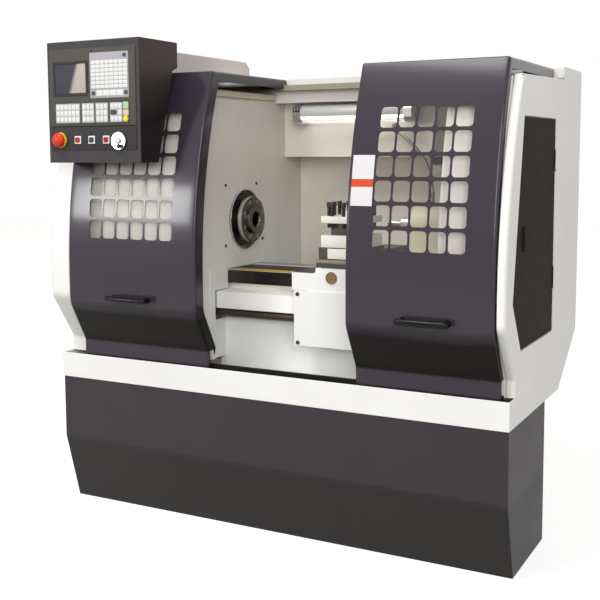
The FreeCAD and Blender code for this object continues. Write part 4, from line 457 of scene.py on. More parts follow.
SPECIAL = (
    # Door paint: the near-black colour between 0.735 m and 0.785 m is painted shade on the downward
    # slope; the foot below 0.622 m is lighter again.
    ShadedPaint("door_charcoal_gloss", "#302833", "door_paint", 0.34, specular=0.12, coat=0.6,
                coat_roughness=0.13, low_code="#0e0b07", low=0.735, high=0.785, foot=0.622),
    # Cabinet paint: the darker colour below 0.235 m is painted shade on the toe, which leans down
    # and away from the light.
    ShadedPaint("base_charcoal", "#322c30", "charcoal_paint", 0.5, specular=0.3,
                low_code="#1c1917", low=0.235, high=0.255),
    # Headstock wall: the lighter colour below 0.86 m is painted light.
    ShadedPaint("partition_grey", "#d6d1c7", "interior_paint", 0.5, low_code="#e2e2de", low=0.86,
                high=1.2),
    ShadedPaint("beige_rail", "#a59c8a", "rail_steel", 0.4, specular=0.3, low_code="#14120d",
                low=0.9, high=1.2),
    ShadedPaint("slide_iron", "#8d8168", "bed_iron", 0.4, low_code="#33312d", low=0.930,
                high=0.936),
    # Control box side: the near-black colour below 1.42 m is painted shade on the side plate.
    ShadedPaint("box_side_shade", "#453d3b", "box_paint", 0.5, specular=0.2, low_code="#191716",
                low=1.42, high=1.62),
    ClearSheet("clear_pane", "#d8dcd8", "panel_clear", 0.06, least=0.01),
    ClearSheet("lamp_glass", "#f2f4f3", "lamp_clear", 0.15, least=0.45),
    ScreenWithPaintedReflection("display_dark", "#45454e", "screen_glass", 0.6, specular=0.1),
    WornMetal("way_ground", "#dfb22c", "bed_iron", 0.42, 0.5, stretch=ALONG_X,
              stain=ink("#8a6a2c")),
    WornMetal("way_front", "#100f0d", "bed_iron", 0.45, specular=0.2, stretch=ALONG_X),
    WornMetal("way_grey", "#a8a196", "bed_iron", 0.45, 0.2, stretch=ALONG_X),
    Finish("seal_rubber", "#1d1d1e", "belt_rubber", 0.7, grain=0.05),
    Finish("rubber_belt", "#1b1b1b", "belt_rubber", 0.75, grain=0.1),
    Finish("motor_grey", "#3d4044", "motor_paint", 0.45, grain=0.08),
    Finish("bed_paint", "#efece4", "cast_paint", 0.45, **ROUGH_CAST),
    Finish("head_paint", "#9d9b92", "cast_paint", 0.45, **ROUGH_CAST),
    Finish("tail_cream", "#d8d4bc", "cast_paint", 0.45, **ROUGH_CAST),
    Finish("light_tube", "#eeedea", "lamp_clear", 0.3, glow=6.0),
    Finish("handle_gloss_black", "#0a0a0b", "handle_black", 0.2, specular=0.18),
    Finish("access_dark", "#241f1c", "access_paint", 0.7, specular=0.08),
    Finish("box_grey", "#413e42", "box_paint", 0.5, specular=0.15),
    Finish("upper_plate", "#53514c", "panel_film", 0.5, specular=0.1),
    Finish("lower_plate", "#3b383b", "panel_film", 0.5, specular=0.1),
    Finish("mushroom_red", "#d83214", "stop_red", 0.4, specular=0.3),
    Finish("lens_red", "#ae141e", "button_red", 0.45, specular=0.2),
    Finish("lens_green", "#17492f", "button_green", 0.45, specular=0.2),
)
FINISHES = {finish.name: finish for finish in SPECIAL}
FINISHES |= {name: Finish(name, code, slot, roughness)
             for slot, rows in PAINTS.items() for name, code, roughness in rows}
FINISHES |= {name: WornMetal(name, code, slot, roughness, metallic, stained=stained)
             for slot, rows in METALS.items() for name, code, roughness, metallic, stained in rows}


# ------------------------------------------------------------------ surfaces
class Axis(IntEnum):
    """An axis of the frame, as its place in a point."""

    X = 0
    Y = 1
    Z = 2


class Surface:
    """Points in millimetres and the faces that join them."""

    def __init__(self, points: np.ndarray, faces: list[list[int]]) -> None:
        """Keeps the points as rows of X, Y and Z."""
        self.points = np.asarray(points, dtype=float).reshape(-1, 3)
        self.faces = faces

    @classmethod
    def grid(cls, points: np.ndarray, wrap_rows: bool = False,
             wrap_columns: bool = False) -> "Surface":
        """Joins point (i, j) of a grid to (i, j + 1), (i + 1, j + 1) and (i + 1, j).

        Args:
            points: rows by columns by three.
            wrap_rows: join the last row to the first.
            wrap_columns: join the last column to the first.

        Returns:
            The surface of quads.
        """
        rows, columns = points.shape[:2]
        index = np.arange(rows * columns).reshape(rows, columns)
        index = np.vstack((index, index[:1])) if wrap_rows else index
        index = np.hstack((index, index[:, :1])) if wrap_columns else index
        quads = np.stack((index[:-1, :-1], index[:-1, 1:], index[1:, 1:], index[1:, :-1]), axis=-1)
        return cls(points, quads.reshape(-1, 4).tolist())

    @classmethod
    def closed(cls, rings: np.ndarray) -> "Surface":
        """Joins closed rings in a row and fills the first and the last.

        Args:
            rings: rings by points by three.

        Returns:
            The closed surface.
        """
        surface = cls.grid(rings, wrap_columns=True)
        count, total = rings.shape[1], len(surface.points)
        surface.faces += [list(range(count)), list(range(total - count, total))]
        return surface

    def mesh(self, name: str) -> bpy.types.Mesh:
        """Gives a new mesh of the points, in metres, and the faces.

        Args:
            name: the mesh's name.

        Returns:
            The mesh.
        """
        made = bpy.data.meshes.new(name)
        made.from_pydata((self.points * MM).tolist(), [], self.faces)
        return made

    def __add__(self, other: "Surface") -> "Surface":
        """Puts two surfaces side by side in one.

        Args:
            other: the second surface.

        Returns:
            Both as one surface.
        """
        shift = len(self.points)
        faces = self.faces + [[i + shift for i in face] for face in other.faces]
        return Surface(np.vstack((self.points, other.points)), faces)


def joined(surfaces: Sequence[Surface]) -> Surface:
    """Puts many surfaces in one."""
    return reduce(Surface.__add__, surfaces)


def rounded_outline(half_a: float, half_b: float, corner: float, steps: int = 4) -> np.ndarray:
    """Gives a rounded rectangle: at each corner an arc, its centre plus corner times (cos, sin).

    Args:
        half_a: half the width.
        half_b: half the height.
        corner: the arcs' radius.
        steps: parts of each arc.

    Returns:
        Points anticlockwise, rows of two.
    """
    signs = np.array([(1, 1), (-1, 1), (-1, -1), (1, -1)], float)
    angle = np.radians(np.arange(4)[:, None] * 90 + np.linspace(0, 90, steps + 1)[None, :])
    centre = signs * (half_a - corner, half_b - corner)
    points = centre[:, None, :] + corner * np.stack((np.cos(angle), np.sin(angle)), axis=-1)
    return points.reshape(-1, 2)


def placed(flat: np.ndarray, height: float | np.ndarray, along: Axis) -> np.ndarray:
    """Turns flat points (a, b) with a height into X, Y and Z, the height along one axis."""
    return np.insert(flat, along, height, axis=-1)


def plate(low: Numbers, high: Numbers, corner: float, edge: float, along: Axis = Axis.Y,
          steps: int = 4) -> Surface:
    """Makes a plate or block with rounded corners and rounded edges.

    A ring at angle f from -90 to 90 degrees is the outline drawn in by edge (1 - cos f), at a
    height of half the thickness less the edge, plus edge sin f.

    Args:
        low: lowest corner.
        high: highest corner.
        corner: radius of the four corners seen along the axis.
        edge: radius of the edges round both flat faces.
        along: the axis the corners run along.
        steps: parts of a corner's arc.

    Returns:
        The closed surface.
    """
    low, high = np.array(low, float), np.array(high, float)
    half = (high - low) / 2
    lift, half = half[along] - edge, np.delete(half, along)
    rings = []
    for side, degrees in ((-1, (-90, -60, -30, 0)), (1, (0, 30, 60, 90))):
        for angle in np.radians(degrees):
            inset = edge * (1 - math.cos(angle))
            flat = rounded_outline(*(half - inset), max(corner - inset, 0.0), steps)
            rings.append(placed(flat, side * lift + edge * math.sin(angle), along))
    return Surface.closed(np.array(rings) + (low + high) / 2)


def plates(corners: Sequence[tuple[Numbers, Numbers]], *shape: object) -> Surface:
    """Makes one plate for each pair of corners."""
    return joined([plate(low, high, *shape) for low, high in corners])


def turned(profile: Numbers, centres: Numbers | Sequence[Numbers], axis: Axis,
           sides: int = 48) -> Surface:
    """Turns a profile about an axis: at angle t the point is radius (cos t, sin t) out of it.

    Args:
        profile: of each point the distance along the axis and the radius, in turn.
        centres: where the distance is zero, one place or several.
        axis: the axis it turns about.
        sides: parts of the full turn.

    Returns:
        A surface at each place, closed where the profile meets the axis.
    """
    line = np.array(profile, float).reshape(-1, 2)
    angle = np.linspace(0, 2 * math.pi, sides, endpoint=False)
    flat = line[:, 1, None, None] * np.stack((np.cos(angle), np.sin(angle)), axis=-1)[None]
    spots = placed(flat, np.repeat(line[:, :1], sides, axis=1), axis)
    return joined([Surface.grid(spots + centre, wrap_columns=True)
                   for centre in np.atleast_2d(np.array(centres, float))])


def on_circle(centre: Numbers, x: float, radius: float, count: int, start: float) -> np.ndarray:
    """Gives places round an axis along X: its centre plus radius (cos, sin) of even angles.

    Args:
        centre: X, Y and Z of the axis.
        x: where the places are along it.
        radius: how far they are from it.
        count: how many there are.
        start: the first one's angle in degrees.

    Returns:
        Rows of X, Y and Z.
    """
    angle = np.radians(start + 360 / count * np.arange(count))
    return np.column_stack((np.full(count, x), centre[1] + radius * np.cos(angle),
                            centre[2] + radius * np.sin(angle)))


# ------------------------------------------------------------------ making pieces
def cleaned(mesh: bpy.types.Mesh, merge: float, flat: float) -> None:
    """Merges doubles, joins flat neighbours if asked and turns the faces outwards.

    Args:
        mesh: the mesh to clean.
        merge: distance under which points become one, in millimetres.
        flat: faces that differ by less than this angle, in degrees, become one.
    """
    work = bmesh.new()
    work.from_mesh(mesh)
    verts, edges = work.verts, work.edges
    bmesh.ops.remove_doubles(work, verts=verts, dist=merge * MM)
    bmesh.ops.dissolve_degenerate(work, edges=edges, dist=merge * MM)
    if flat:
        bmesh.ops.dissolve_limit(work, angle_limit=math.radians(flat), verts=verts, edges=edges)
    bmesh.ops.recalc_face_normals(work, faces=work.faces)
    work.to_mesh(mesh)
    work.free()


def dressed(thing: bpy.types.Object, finish: str) -> None:
    """Gives an object one finish by name.

    Args:
        thing: the object.
        finish: the finish's name.
    """
    if not thing.material_slots:
        thing.data.materials.append(None)
    for place in thing.material_slots:
        place.material = FINISHES[finish].material()


def piece(name: str, shape: Surface | bpy.types.Mesh, finish: str, body: str = "machine",
          node: str = "", wall: float = 0.0, bevel: float = 0.0, segments: int = 2,
          outward: Numbers = (), angle: float = 35.0, bent: float = 30.0) -> None:
    """Makes one piece.

    Args:
        name: the piece's name.
        shape: a surface in millimetres, or a clean copy of the replaced node's mesh.
        finish: its finish, by name.
        body: the body it rides on; a replaced node's own body counts first.
        node: the node it replaces.
        wall: thickness laid inwards from the surface, for a sheet.
        bevel: radius of its edges.
        segments: parts of each rounded edge.
        outward: direction that most of an open sheet faces.
        angle: edges sharper than this look sharp.
        bent: edges sharper than this are rounded.
    """
    mesh, slot = shape, SLOTS.get(node)
    if isinstance(shape, Surface):
        mesh, slot = shape.mesh(name), FINISHES[finish].slot
        cleaned(mesh, 0.01, 0.0)
    if outward:
        total = sum((polygon.normal * polygon.area for polygon in mesh.polygons), Vector())
        if total.dot(Vector(outward)) < 0:
            mesh.flip_normals()
    mesh.shade_smooth()
    mesh.set_sharp_from_angle(angle=math.radians(angle))
    thing = in_scene(name, mesh)
    if wall:
        sheet = thing.modifiers.new("wall", "SOLIDIFY")
        sheet.thickness, sheet.offset, sheet.use_even_offset = wall * MM, -1.0, True
    if bevel:
        edges = thing.modifiers.new("edges", "BEVEL")
        edges.width, edges.segments, edges.miter_outer = bevel * MM, segments, "MITER_ARC"
        edges.limit_method, edges.angle_limit = "ANGLE", math.radians(bent)
        even = thing.modifiers.new("even_normals", "WEIGHTED_NORMAL")
        even.keep_sharp, even.weight = True, 60
    dressed(thing, finish)
    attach(thing, frame["nodes"][node]["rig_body"] if node else body)
    if node:
        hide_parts(node)
    log.info("%s: %d points", name, len(mesh.vertices))


def softened(node: str, finish: str, width: float = 1.5, segments: int = 2,
             angle: float = 30.0) -> None:
    """Replaces a node by a merged copy of it with rounded edges.

    Args:
        node: the node to stand for.
        finish: its finish.
        width: radius of the edges in millimetres.
        segments: parts of each rounded edge.
        angle: edges sharper than this are rounded.
    """
    mesh = frame["nodes"][node].data.copy()
    mesh.name = f"{node}_formed"
    cleaned(mesh, 0.005, 0.6)
    piece(mesh.name, mesh, finish, node=node, bevel=width, segments=segments, angle=angle,
          bent=angle)


def carried(node: str, finish: str) -> None:
    """Keeps a node's own solid and gives it a finish."""
    dressed(frame["nodes"][node], finish)
    log.info("%s: its own solid", node)


# ------------------------------------------------------------------ front line
def ramp(t: np.ndarray, width: float) -> np.ndarray:
    """Gives a bend rounded over twice a width: 0, then (t + w)^2 / 4w, then t."""
    return np.where(t <= -width, 0.0, np.where(t >= width, t, (t + width) ** 2 / (4 * width)))


@dataclass(frozen=True)
class FrontLine:
    """Front profile: an upright foot, a slope, an upright face and an arc that leans back."""

    foot_y: float
    face_y: float
    face_bottom: float
    bend: float                 # height at which the arc starts
    radius: float               # of the arc
    foot_top: float = 622.0
    low_width: float = 7.0      # half the width of the bend over the foot
    crease_width: float = 16.0  # half the width of the bend under the face

    def y(self, z: float | np.ndarray) -> np.ndarray:
        """Gives Y at heights: foot, plus the slope's two rounded bends, plus the arc's sagitta.

        Args:
            z: one height or more.

        Returns:
            Y at each.
        """
        slope = (self.face_y - self.foot_y) / (self.face_bottom - self.foot_top)
        low = ramp(z - self.foot_top, self.low_width)
        low = low - ramp(z - self.face_bottom, self.crease_width)
        over = np.maximum(z - self.bend, 0.0)
        return self.foot_y + slope * low + self.radius - np.sqrt(self.radius ** 2 - over ** 2)

    def heights(self, low: float, high: float) -> np.ndarray:
        """Gives the heights of the rows between two: even steps, and closer ones at its bends.

        Args:
            low: the lowest.
            high: the highest.

        Returns:
            The heights, upwards.
        """
        foot = self.foot_top + np.linspace(-1, 1, 5) * self.low_width
        crease = self.face_bottom + np.linspace(-1, 1, 9) * self.crease_width
        rows = np.concatenate(([low, high], np.arange(low, high, 45), foot, crease))
        rows = np.unique(np.round(rows[(rows >= low) & (rows <= high)], 3))
        return rows[np.concatenate(([True], np.diff(rows) > 0.4))]


# ------------------------------------------------------------------ doors
@dataclass(frozen=True)
class SlidingDoor:
    """A sliding door: one bent sheet with a punched grille, flanges and a top plate."""

    side: str
    x0: float
    x1: float
    columns: int
    opening: int                # side of the opening, -1 or 1
    handle_x: float
    handle_z: float = 799.0
    handle_out: float = 32.0    # from the face to the bar's middle
    top: float = 1583.0
    bottom: float = 563.0
    foot: float = 622.1         # the flange is narrow below this
    foot_flange: float = 9.2
    rear_shoe: float = 315.6    # the flange is low behind this
    rear_arm: float = 19.0
    bend: float = 9.0           # radius of the bends at the sides
    fold: float = 7.0           # radius of the bend at the top
    flange: float = 50.0
    outer_flange: float = 30.0
    arm: float = 35.0
    cell: Pair = (54.0, 63.0)
    bar: Pair = (6.5, 11.4)
    cell_round: float = 12.0
    rows: int = 6
    window_bottom: float = 1007.0
    back: Numbers = (-150, -140, -60, 60, 180, 280, 315.4, 315.9, 342)  # the top plate's rows
    post: Numbers = (0, 0, 0, 9.4, 14, 9.4, 24, 9.8, 29, 10.8, 31.2, 12, 31.9, 12, 31.9, 0)
    shoe: Places = (            # lowest and highest Y and Z of the shoes' cheeks
        (315.7, 1550, 321.7, 1581), (328.3, 1550, 334.3, 1581), (315.7, 1562.4, 334.3, 1581),
        (-232, 565, -212.3, 591), (-205.7, 565, -199.7, 591), (-232, 577.4, -199.7, 591))
    line: FrontLine = FrontLine(-234.0, -312.0, 768.0, 900.0, 1850.0)

    def window(self) -> tuple[np.ndarray, np.ndarray]:
        """Gives the window's lowest corner and the pitch of its cells, across and up.

        Returns:
            The corner and the pitch, each an X and a Z.
        """
        pitch = np.add(self.cell, self.bar)
        return np.array([(self.x0 + self.x1) / 2 - self.columns * pitch[0] / 2,
                         self.window_bottom - self.bar[1] / 2]), pitch

    def lean(self) -> tuple[float, float]:
        """Gives the face's lean at the top in radians, and how far the fold reaches along it."""
        lean = math.asin((self.top - self.line.bend) / self.line.radius)
        return lean, self.fold * math.tan((math.pi / 2 - lean) / 2)

    def lines(self) -> tuple[np.ndarray, np.ndarray]:
        """Gives X of the face's columns and Z of its rows, a window pitch cut in six.

        Returns:
            Both, in rising order.
        """
        low, pitch = self.window()
        across = low[0] + pitch[0] * np.arange(self.columns * 6 + 1) / 6
        up = low[1] + pitch[1] * np.arange(self.rows * 6 + 1) / 6
        lean, reach = self.lean()
        below = np.unique(np.append(self.line.heights(self.bottom, up[0] - 3.0), 625.5))
        above = np.linspace(up[-1], self.top - reach * math.cos(lean), 6)[1:]
        return np.concatenate((np.linspace(self.x0 + self.bend, across[0], 5)[:-1], across,
                               np.linspace(across[-1], self.x1 - self.bend, 5)[1:])
                              ), np.concatenate((below, up, above))

    def skin(self, x: np.ndarray, z: np.ndarray) -> np.ndarray:
        """Lays flat (x, z) on the face: (x, y of the front line at z, z)."""
        return np.stack(np.broadcast_arrays(x, self.line.y(z), z), axis=-1)

    def path(self) -> np.ndarray:
        """Gives Y and Z of the outer line: up the face, round the fold and back along the top.

        The fold is its centre plus its radius times (-cos f, sin f), with f from the face's lean
        to a right angle.

        Returns:
            One row for each point.
        """
        z = self.lines()[1]
        lean, reach = self.lean()
        angle = np.linspace(lean, math.pi / 2, 6)[1:]
        fold = self.fold * np.column_stack((-np.cos(angle), np.sin(angle)))
        fold += (self.line.y(self.top) + reach, self.top - self.fold)
        return np.vstack((np.column_stack((self.line.y(z), z)), fold,
                          [(y, self.top) for y in self.back]))

    def side_flange(self, x: float, turn: int) -> Surface:
        """Makes one side: a bend, then a flat flange.

        The flange's inner edge lies its depth behind the face, the arm's height under the top,
        and between these every point shares the corner of the two. A column is the path moved
        inwards along the way to that edge. In the bend that is r (1 - cos a) while X comes out
        from r to r (1 - sin a); beyond, it goes evenly.

        Args:
            x: the side's outer face.
            turn: -1 for the left side and 1 for the right.

        Returns:
            The open sheet.
        """
        path = self.path()
        y, z = path.T
        low = self.top - self.arm
        depth = self.flange if turn == self.opening else self.outer_flange
        near = y + np.where(z <= self.foot, self.foot_flange, depth)
        lowest = np.where(y > self.rear_shoe, self.top - self.rear_arm, low)
        edge = np.where(z <= low, (near, z), (np.maximum(y, self.line.y(low) + depth), lowest)).T
        length = np.linalg.norm(edge - path, axis=1, keepdims=True)
        unit = (edge - path) / np.maximum(length, 1e-9)
        steps = [(np.minimum(self.bend * (1 - math.cos(a)), length), self.bend * (1 - math.sin(a)))
                 for a in np.radians(np.linspace(0, 90, 6))]
        steps += [(self.bend + (length - self.bend) * share, 0.0) for share in (0.4, 0.75, 1.0)]
        return Surface.grid(np.stack([placed(path + unit * inward, x - turn * out, Axis.X)
                                      for inward, out in steps], axis=1))

    def cells(self) -> Surface:
        """Joins each pitch's rectangle to its rounded cell.

        Both have 24 points, six to a side. A cell's side is its corner arc at 45 and 22.5
        degrees, the arc's end, the middle, and the same again mirrored.

        Returns:
            All cells as one open sheet.
        """
        low, pitch = self.window()
        core = np.array(self.cell) / 2 - self.cell_round
        arc = np.radians([45.0, 22.5, 0.0])
        away, drop = self.cell_round * np.sin(arc), self.cell_round * (1 - np.cos(arc))
        dip = np.concatenate((drop, [0.0], drop[:0:-1]))
        sides = []
        for turn, (cos, sin) in enumerate(((1, 0), (0, 1), (-1, 0), (0, -1))):
            wide, high = turn % 2, 1 - turn % 2
            run = np.concatenate((-core[wide] - away, [0.0], (core[wide] + away)[:0:-1]))
            outer = (np.arange(-3, 3) / 6 * pitch[wide], np.full(6, -pitch[high] / 2))
            inner = (run, dip - self.cell[high] / 2)
            sides.append(np.array([[cos, -sin], [sin, cos]], float) @ np.array((outer, inner)))
        outer, inner = np.concatenate(sides, axis=-1).swapaxes(1, 2)
        rings = np.stack((outer, outer * 0.35 + inner * 0.65, inner))
        flats = [rings + low + pitch * (column + 0.5, row + 0.5)
                 for row in range(self.rows) for column in range(self.columns)]
        return joined([Surface.grid(self.skin(flat[..., 0], flat[..., 1]), wrap_columns=True)
                       for flat in flats])

    def shell(self) -> Surface:
        """Makes the whole sheet: face round the window, fold, top plate, flanges and cells.

        Returns:
            The open sheet.
        """
        x, z = self.lines()
        low, pitch = self.window()
        right, top = low + pitch * (self.columns, self.rows)
        beside = z[(z >= low[1] - 0.01) & (z <= top + 0.01)]
        patches = [Surface.grid(self.skin(across[None, :], up[:, None])) for across, up in (
            (x, z[z <= low[1] + 0.01]), (x, z[z >= top - 0.01]),
            (x[x <= low[0] + 0.01], beside), (x[x >= right - 0.01], beside))]
        rest = self.path()[len(z) - 1:, None, :].repeat(len(x), axis=1)
        patches.append(Surface.grid(placed(rest, np.tile(x, (len(rest), 1)), Axis.X)))
        patches += [self.side_flange(self.x0, -1), self.side_flange(self.x1, 1)]
        return joined(patches) + self.cells()

    def sticker(self, low: float, high: float, lift: float) -> Surface:
        """Lays a thin label on the face, its edges carried in to the face.

        Args:
            low: its lowest height.
            high: its highest.
            lift: how far it stands off the face.

        Returns:
            The open sheet.
        """
        x, z = np.linspace(self.x0 + 12.0, self.x0 + 84.0, 4), np.linspace(low, high, 8)
        spots = self.skin(x[[0, 0, 1, 2, 3, 3]], z[[0, 0, 1, 2, 3, 4, 5, 6, 7, 7], None])
        spots[..., 1] += 0.4
        spots[1:-1, 1:-1, 1] -= lift + 0.4
        spots[[0, 0, -1, -1], [0, -1, 0, -1], 1] += 0.4
        return Surface.grid(spots)

    def seal(self) -> Surface:
        """Makes the rubber seal along the opening's flange: a circle carried up the door.

        Returns:
            The closed tube.
        """
        z = np.linspace(600.0, 1525.0, 40)
        x = self.x1 - 4.0 if self.opening > 0 else self.x0 + 4.0
        middle = np.column_stack((np.full(40, x), self.line.y(z) + self.flange - 5.0, z))
        radii = np.array([0.01, *[4.2] * 38, 0.01])[:, None, None]
        angle = np.linspace(0, 2 * math.pi, 10, endpoint=False)
        ring = np.column_stack((np.cos(angle), np.sin(angle), np.zeros(10)))
        return Surface.grid(middle[:, None, :] + radii * ring, wrap_columns=True)

    def handle(self) -> Surface:
        """Makes the bar handle: a round bar with domed ends and two flared posts.

        Returns:
            The bar and its posts.
        """
        half, thick, z = 76.0, 11.0, self.handle_z
        y = self.line.y(z) - self.handle_out
        t = np.linspace(0, math.pi / 2, 7)
        dome = np.column_stack((half + thick * np.sin(t), thick * np.cos(t)))
        bar = turned(np.vstack((dome[::-1] * (-1, 1), dome)), (self.handle_x, y, z), Axis.X, 28)
        return bar + turned(self.post, [(self.handle_x + s, y, z) for s in (-72, 72)], Axis.Y, 20)

    def build(self) -> None:
        """Makes the door's pieces and dresses its pane."""
        body, front = f"{self.side}_door", (0.0, -1.0, 0.0)
        piece(f"{body}_sheet", self.shell(), "door_charcoal_gloss", node=f"{body}_shell",
              wall=2.0, bevel=0.5, segments=1, outward=front)
        shoes = [((x, y0, z0), (x + 60, y1, z1)) for x in (self.x0 + 40, self.x1 - 100)
                 for y0, z0, y1, z1 in self.shoe]
        piece(f"{body}_shoes", plates(shoes, 1.0, 0.8, Axis.X, 2), "shoe_nylon", body)
        piece(f"{body}_seal", self.seal(), "seal_rubber", body)
        piece(f"{body}_bar_handle", self.handle(), "handle_gloss_black", node=f"{body}_handle")
        carried(f"{body}_pane", "clear_pane")
        if self.side == "right":
            label, stripe = self.sticker(1141, 1296, 0.3), self.sticker(1199, 1223, 0.5)
            piece("door_label", label, "label_white", body, outward=front)
            piece("label_stripe", stripe, "label_orange", body, outward=front)


# ------------------------------------------------------------------ end covers
@dataclass(frozen=True)
class EndCover:
    """An end cover: front strip, rounded corner, side sheet with a recess, and inner return."""

    side: int                   # -1 left, 1 right
    strip: float                # width of the strip beside the door
    outer: float = 850.0
    corner: float = 14.0
    bend: float = 4.0
    returned: float = 60.0
    recess: float = 12.0
    bottom: float = 568.0
    top: float = 1533.0
    roof: float = 1528.0
    rear_top: float = 1545.0
    beam_y: float = 350.0
    door_y: Numbers = (-138.0, -235.0, -138.0)
    door_z: Numbers = (700.0, 857.0, 1411.0)
    door_rear: float = 262.0
    rear_y: Numbers = (483.0, 605.3, 618.0, 603.0)  # slope over the tray, wall, chamfer
    rear_z: Numbers = (568.0, 654.0, 1578.0, 1588.0)
    line: FrontLine = FrontLine(-195.0, -305.0, 790.0, 870.0, 1550.0)

    def section(self) -> np.ndarray:
        """Gives the front's section: the return, the inner bend, the face and the corner.

        A bend is its centre plus its radius times (cos, sin). A row is the distance in from the
        side and the depth behind the front line.

        Returns:
            One row for each point.
        """
        inner, outer = np.radians(np.linspace(0, 90, 4)), np.radians(np.linspace(0, 90, 7))
        small = np.column_stack((self.strip - self.bend + self.bend * np.cos(inner),
                                 self.bend - self.bend * np.sin(inner)))
        large = self.corner - self.corner * np.column_stack((np.sin(outer), np.cos(outer)))
        return np.vstack(([(self.strip, self.returned), (self.strip, 30.0)], small, large))

    def sheet(self, inward: float | np.ndarray, y: np.ndarray, z: np.ndarray,
              **wraps: bool) -> Surface:
        """Makes a grid of a distance in from the side, a Y and a Z."""
        x = self.side * (self.outer - np.asarray(inward, float))
        return Surface.grid(np.stack(np.broadcast_arrays(x, y, z), axis=-1), **wraps)

    def shell(self) -> Surface:
        """Makes the whole cover as one sheet: the front, the side's bands and the recess.

        Returns:
            The open sheet.
        """
        z, section = self.line.heights(self.bottom, self.top), self.section()
        fixed = np.array([*self.door_z, self.rear_z[1]])
        z = np.unique(np.concatenate((z[np.abs(z[:, None] - fixed).min(axis=1) > 6.0], fixed)))
        height = np.where(section[:, 0] > self.strip - 0.5, np.minimum(z, self.roof)[:, None],
                          z[:, None])
        front = self.line.y(z)
        near = front + self.corner
        edge = np.interp(z, self.door_z, self.door_y)
        share = np.linspace(0, 1, 5)
        rise = (self.rear_top - self.top) / (self.beam_y - near[-1])

        def band(y0: np.ndarray, y1: np.ndarray | float, rows: np.ndarray) -> Surface:
            """Fills the side sheet between two lines of Y on some rows.

            Args:
                y0: the front line.
                y1: the rear line.
                rows: which rows it covers.

            Returns:
                The band.
            """
            y = y0[:, None] + (y1 - y0)[:, None] * share
            lifted = self.top + rise * np.clip(y - near[-1], 0, self.beam_y - near[-1])
            spots = np.where(z[:, None] == self.top, lifted, z[:, None])
            return self.sheet(0.0, y[rows], spots[rows])

        every, low, high = z > 0, z <= self.door_z[0], z >= self.door_z[-1]
        rear, beam = np.full(len(z), self.door_rear), np.full(len(z), self.beam_y)
        patches = [self.sheet(section[:, 0], front[:, None] + section[:, 1], height),
                   band(near, edge, every), band(edge, rear, low), band(edge, rear, high),
                   band(rear, beam, every),
                   band(beam, np.interp(z, self.rear_z, self.rear_y), every)]
        upper = np.array([self.rear_top, 1562.0, *self.rear_z[2:]])[:, None]
        y = self.beam_y + (np.interp(upper, self.rear_z, self.rear_y) - self.beam_y) * share
        patches.append(self.sheet(0.0, y, upper))
        door = (z >= self.door_z[0]) & (z <= self.door_z[-1])
        return joined(patches) + self.pocket(z[door], edge[door])

    def pocket(self, z: np.ndarray, edge: np.ndarray) -> Surface:
        """Makes the recess: a wall round the access door's outline, then its back.

        Args:
            z: heights of the outline's rows.
            edge: Y of the front edge at each.

        Returns:
            The open pocket.
        """
        rear = np.full(len(z), self.door_rear)
        y = edge[:, None] + (rear - edge)[:, None] * np.linspace(0, 1, 5)
        loop_y = np.concatenate((y[0], rear[1:], y[-1, -2::-1], edge[-2:0:-1]))
        loop_z = np.concatenate((z[[0] * 5], z[1:], z[[-1] * 4], z[-2:0:-1]))
        depth = np.array([0.0, 1.0, 3.0, self.recess])[:, None]
        return (self.sheet(depth, loop_y, loop_z, wrap_columns=True)
                + self.sheet(self.recess, y, z[:, None]))

    def build(self) -> None:
        """Makes the cover and its access door."""
        name = "left" if self.side < 0 else "right"
        piece(f"{name}_cover_sheet", self.shell(), "cover_white", node=f"{name}_end_cover",
              wall=2.0, bevel=0.8, outward=(self.side, 0.0, 0.0), angle=40.0)
        softened(f"{name}_access_door", "access_dark", 0.9)


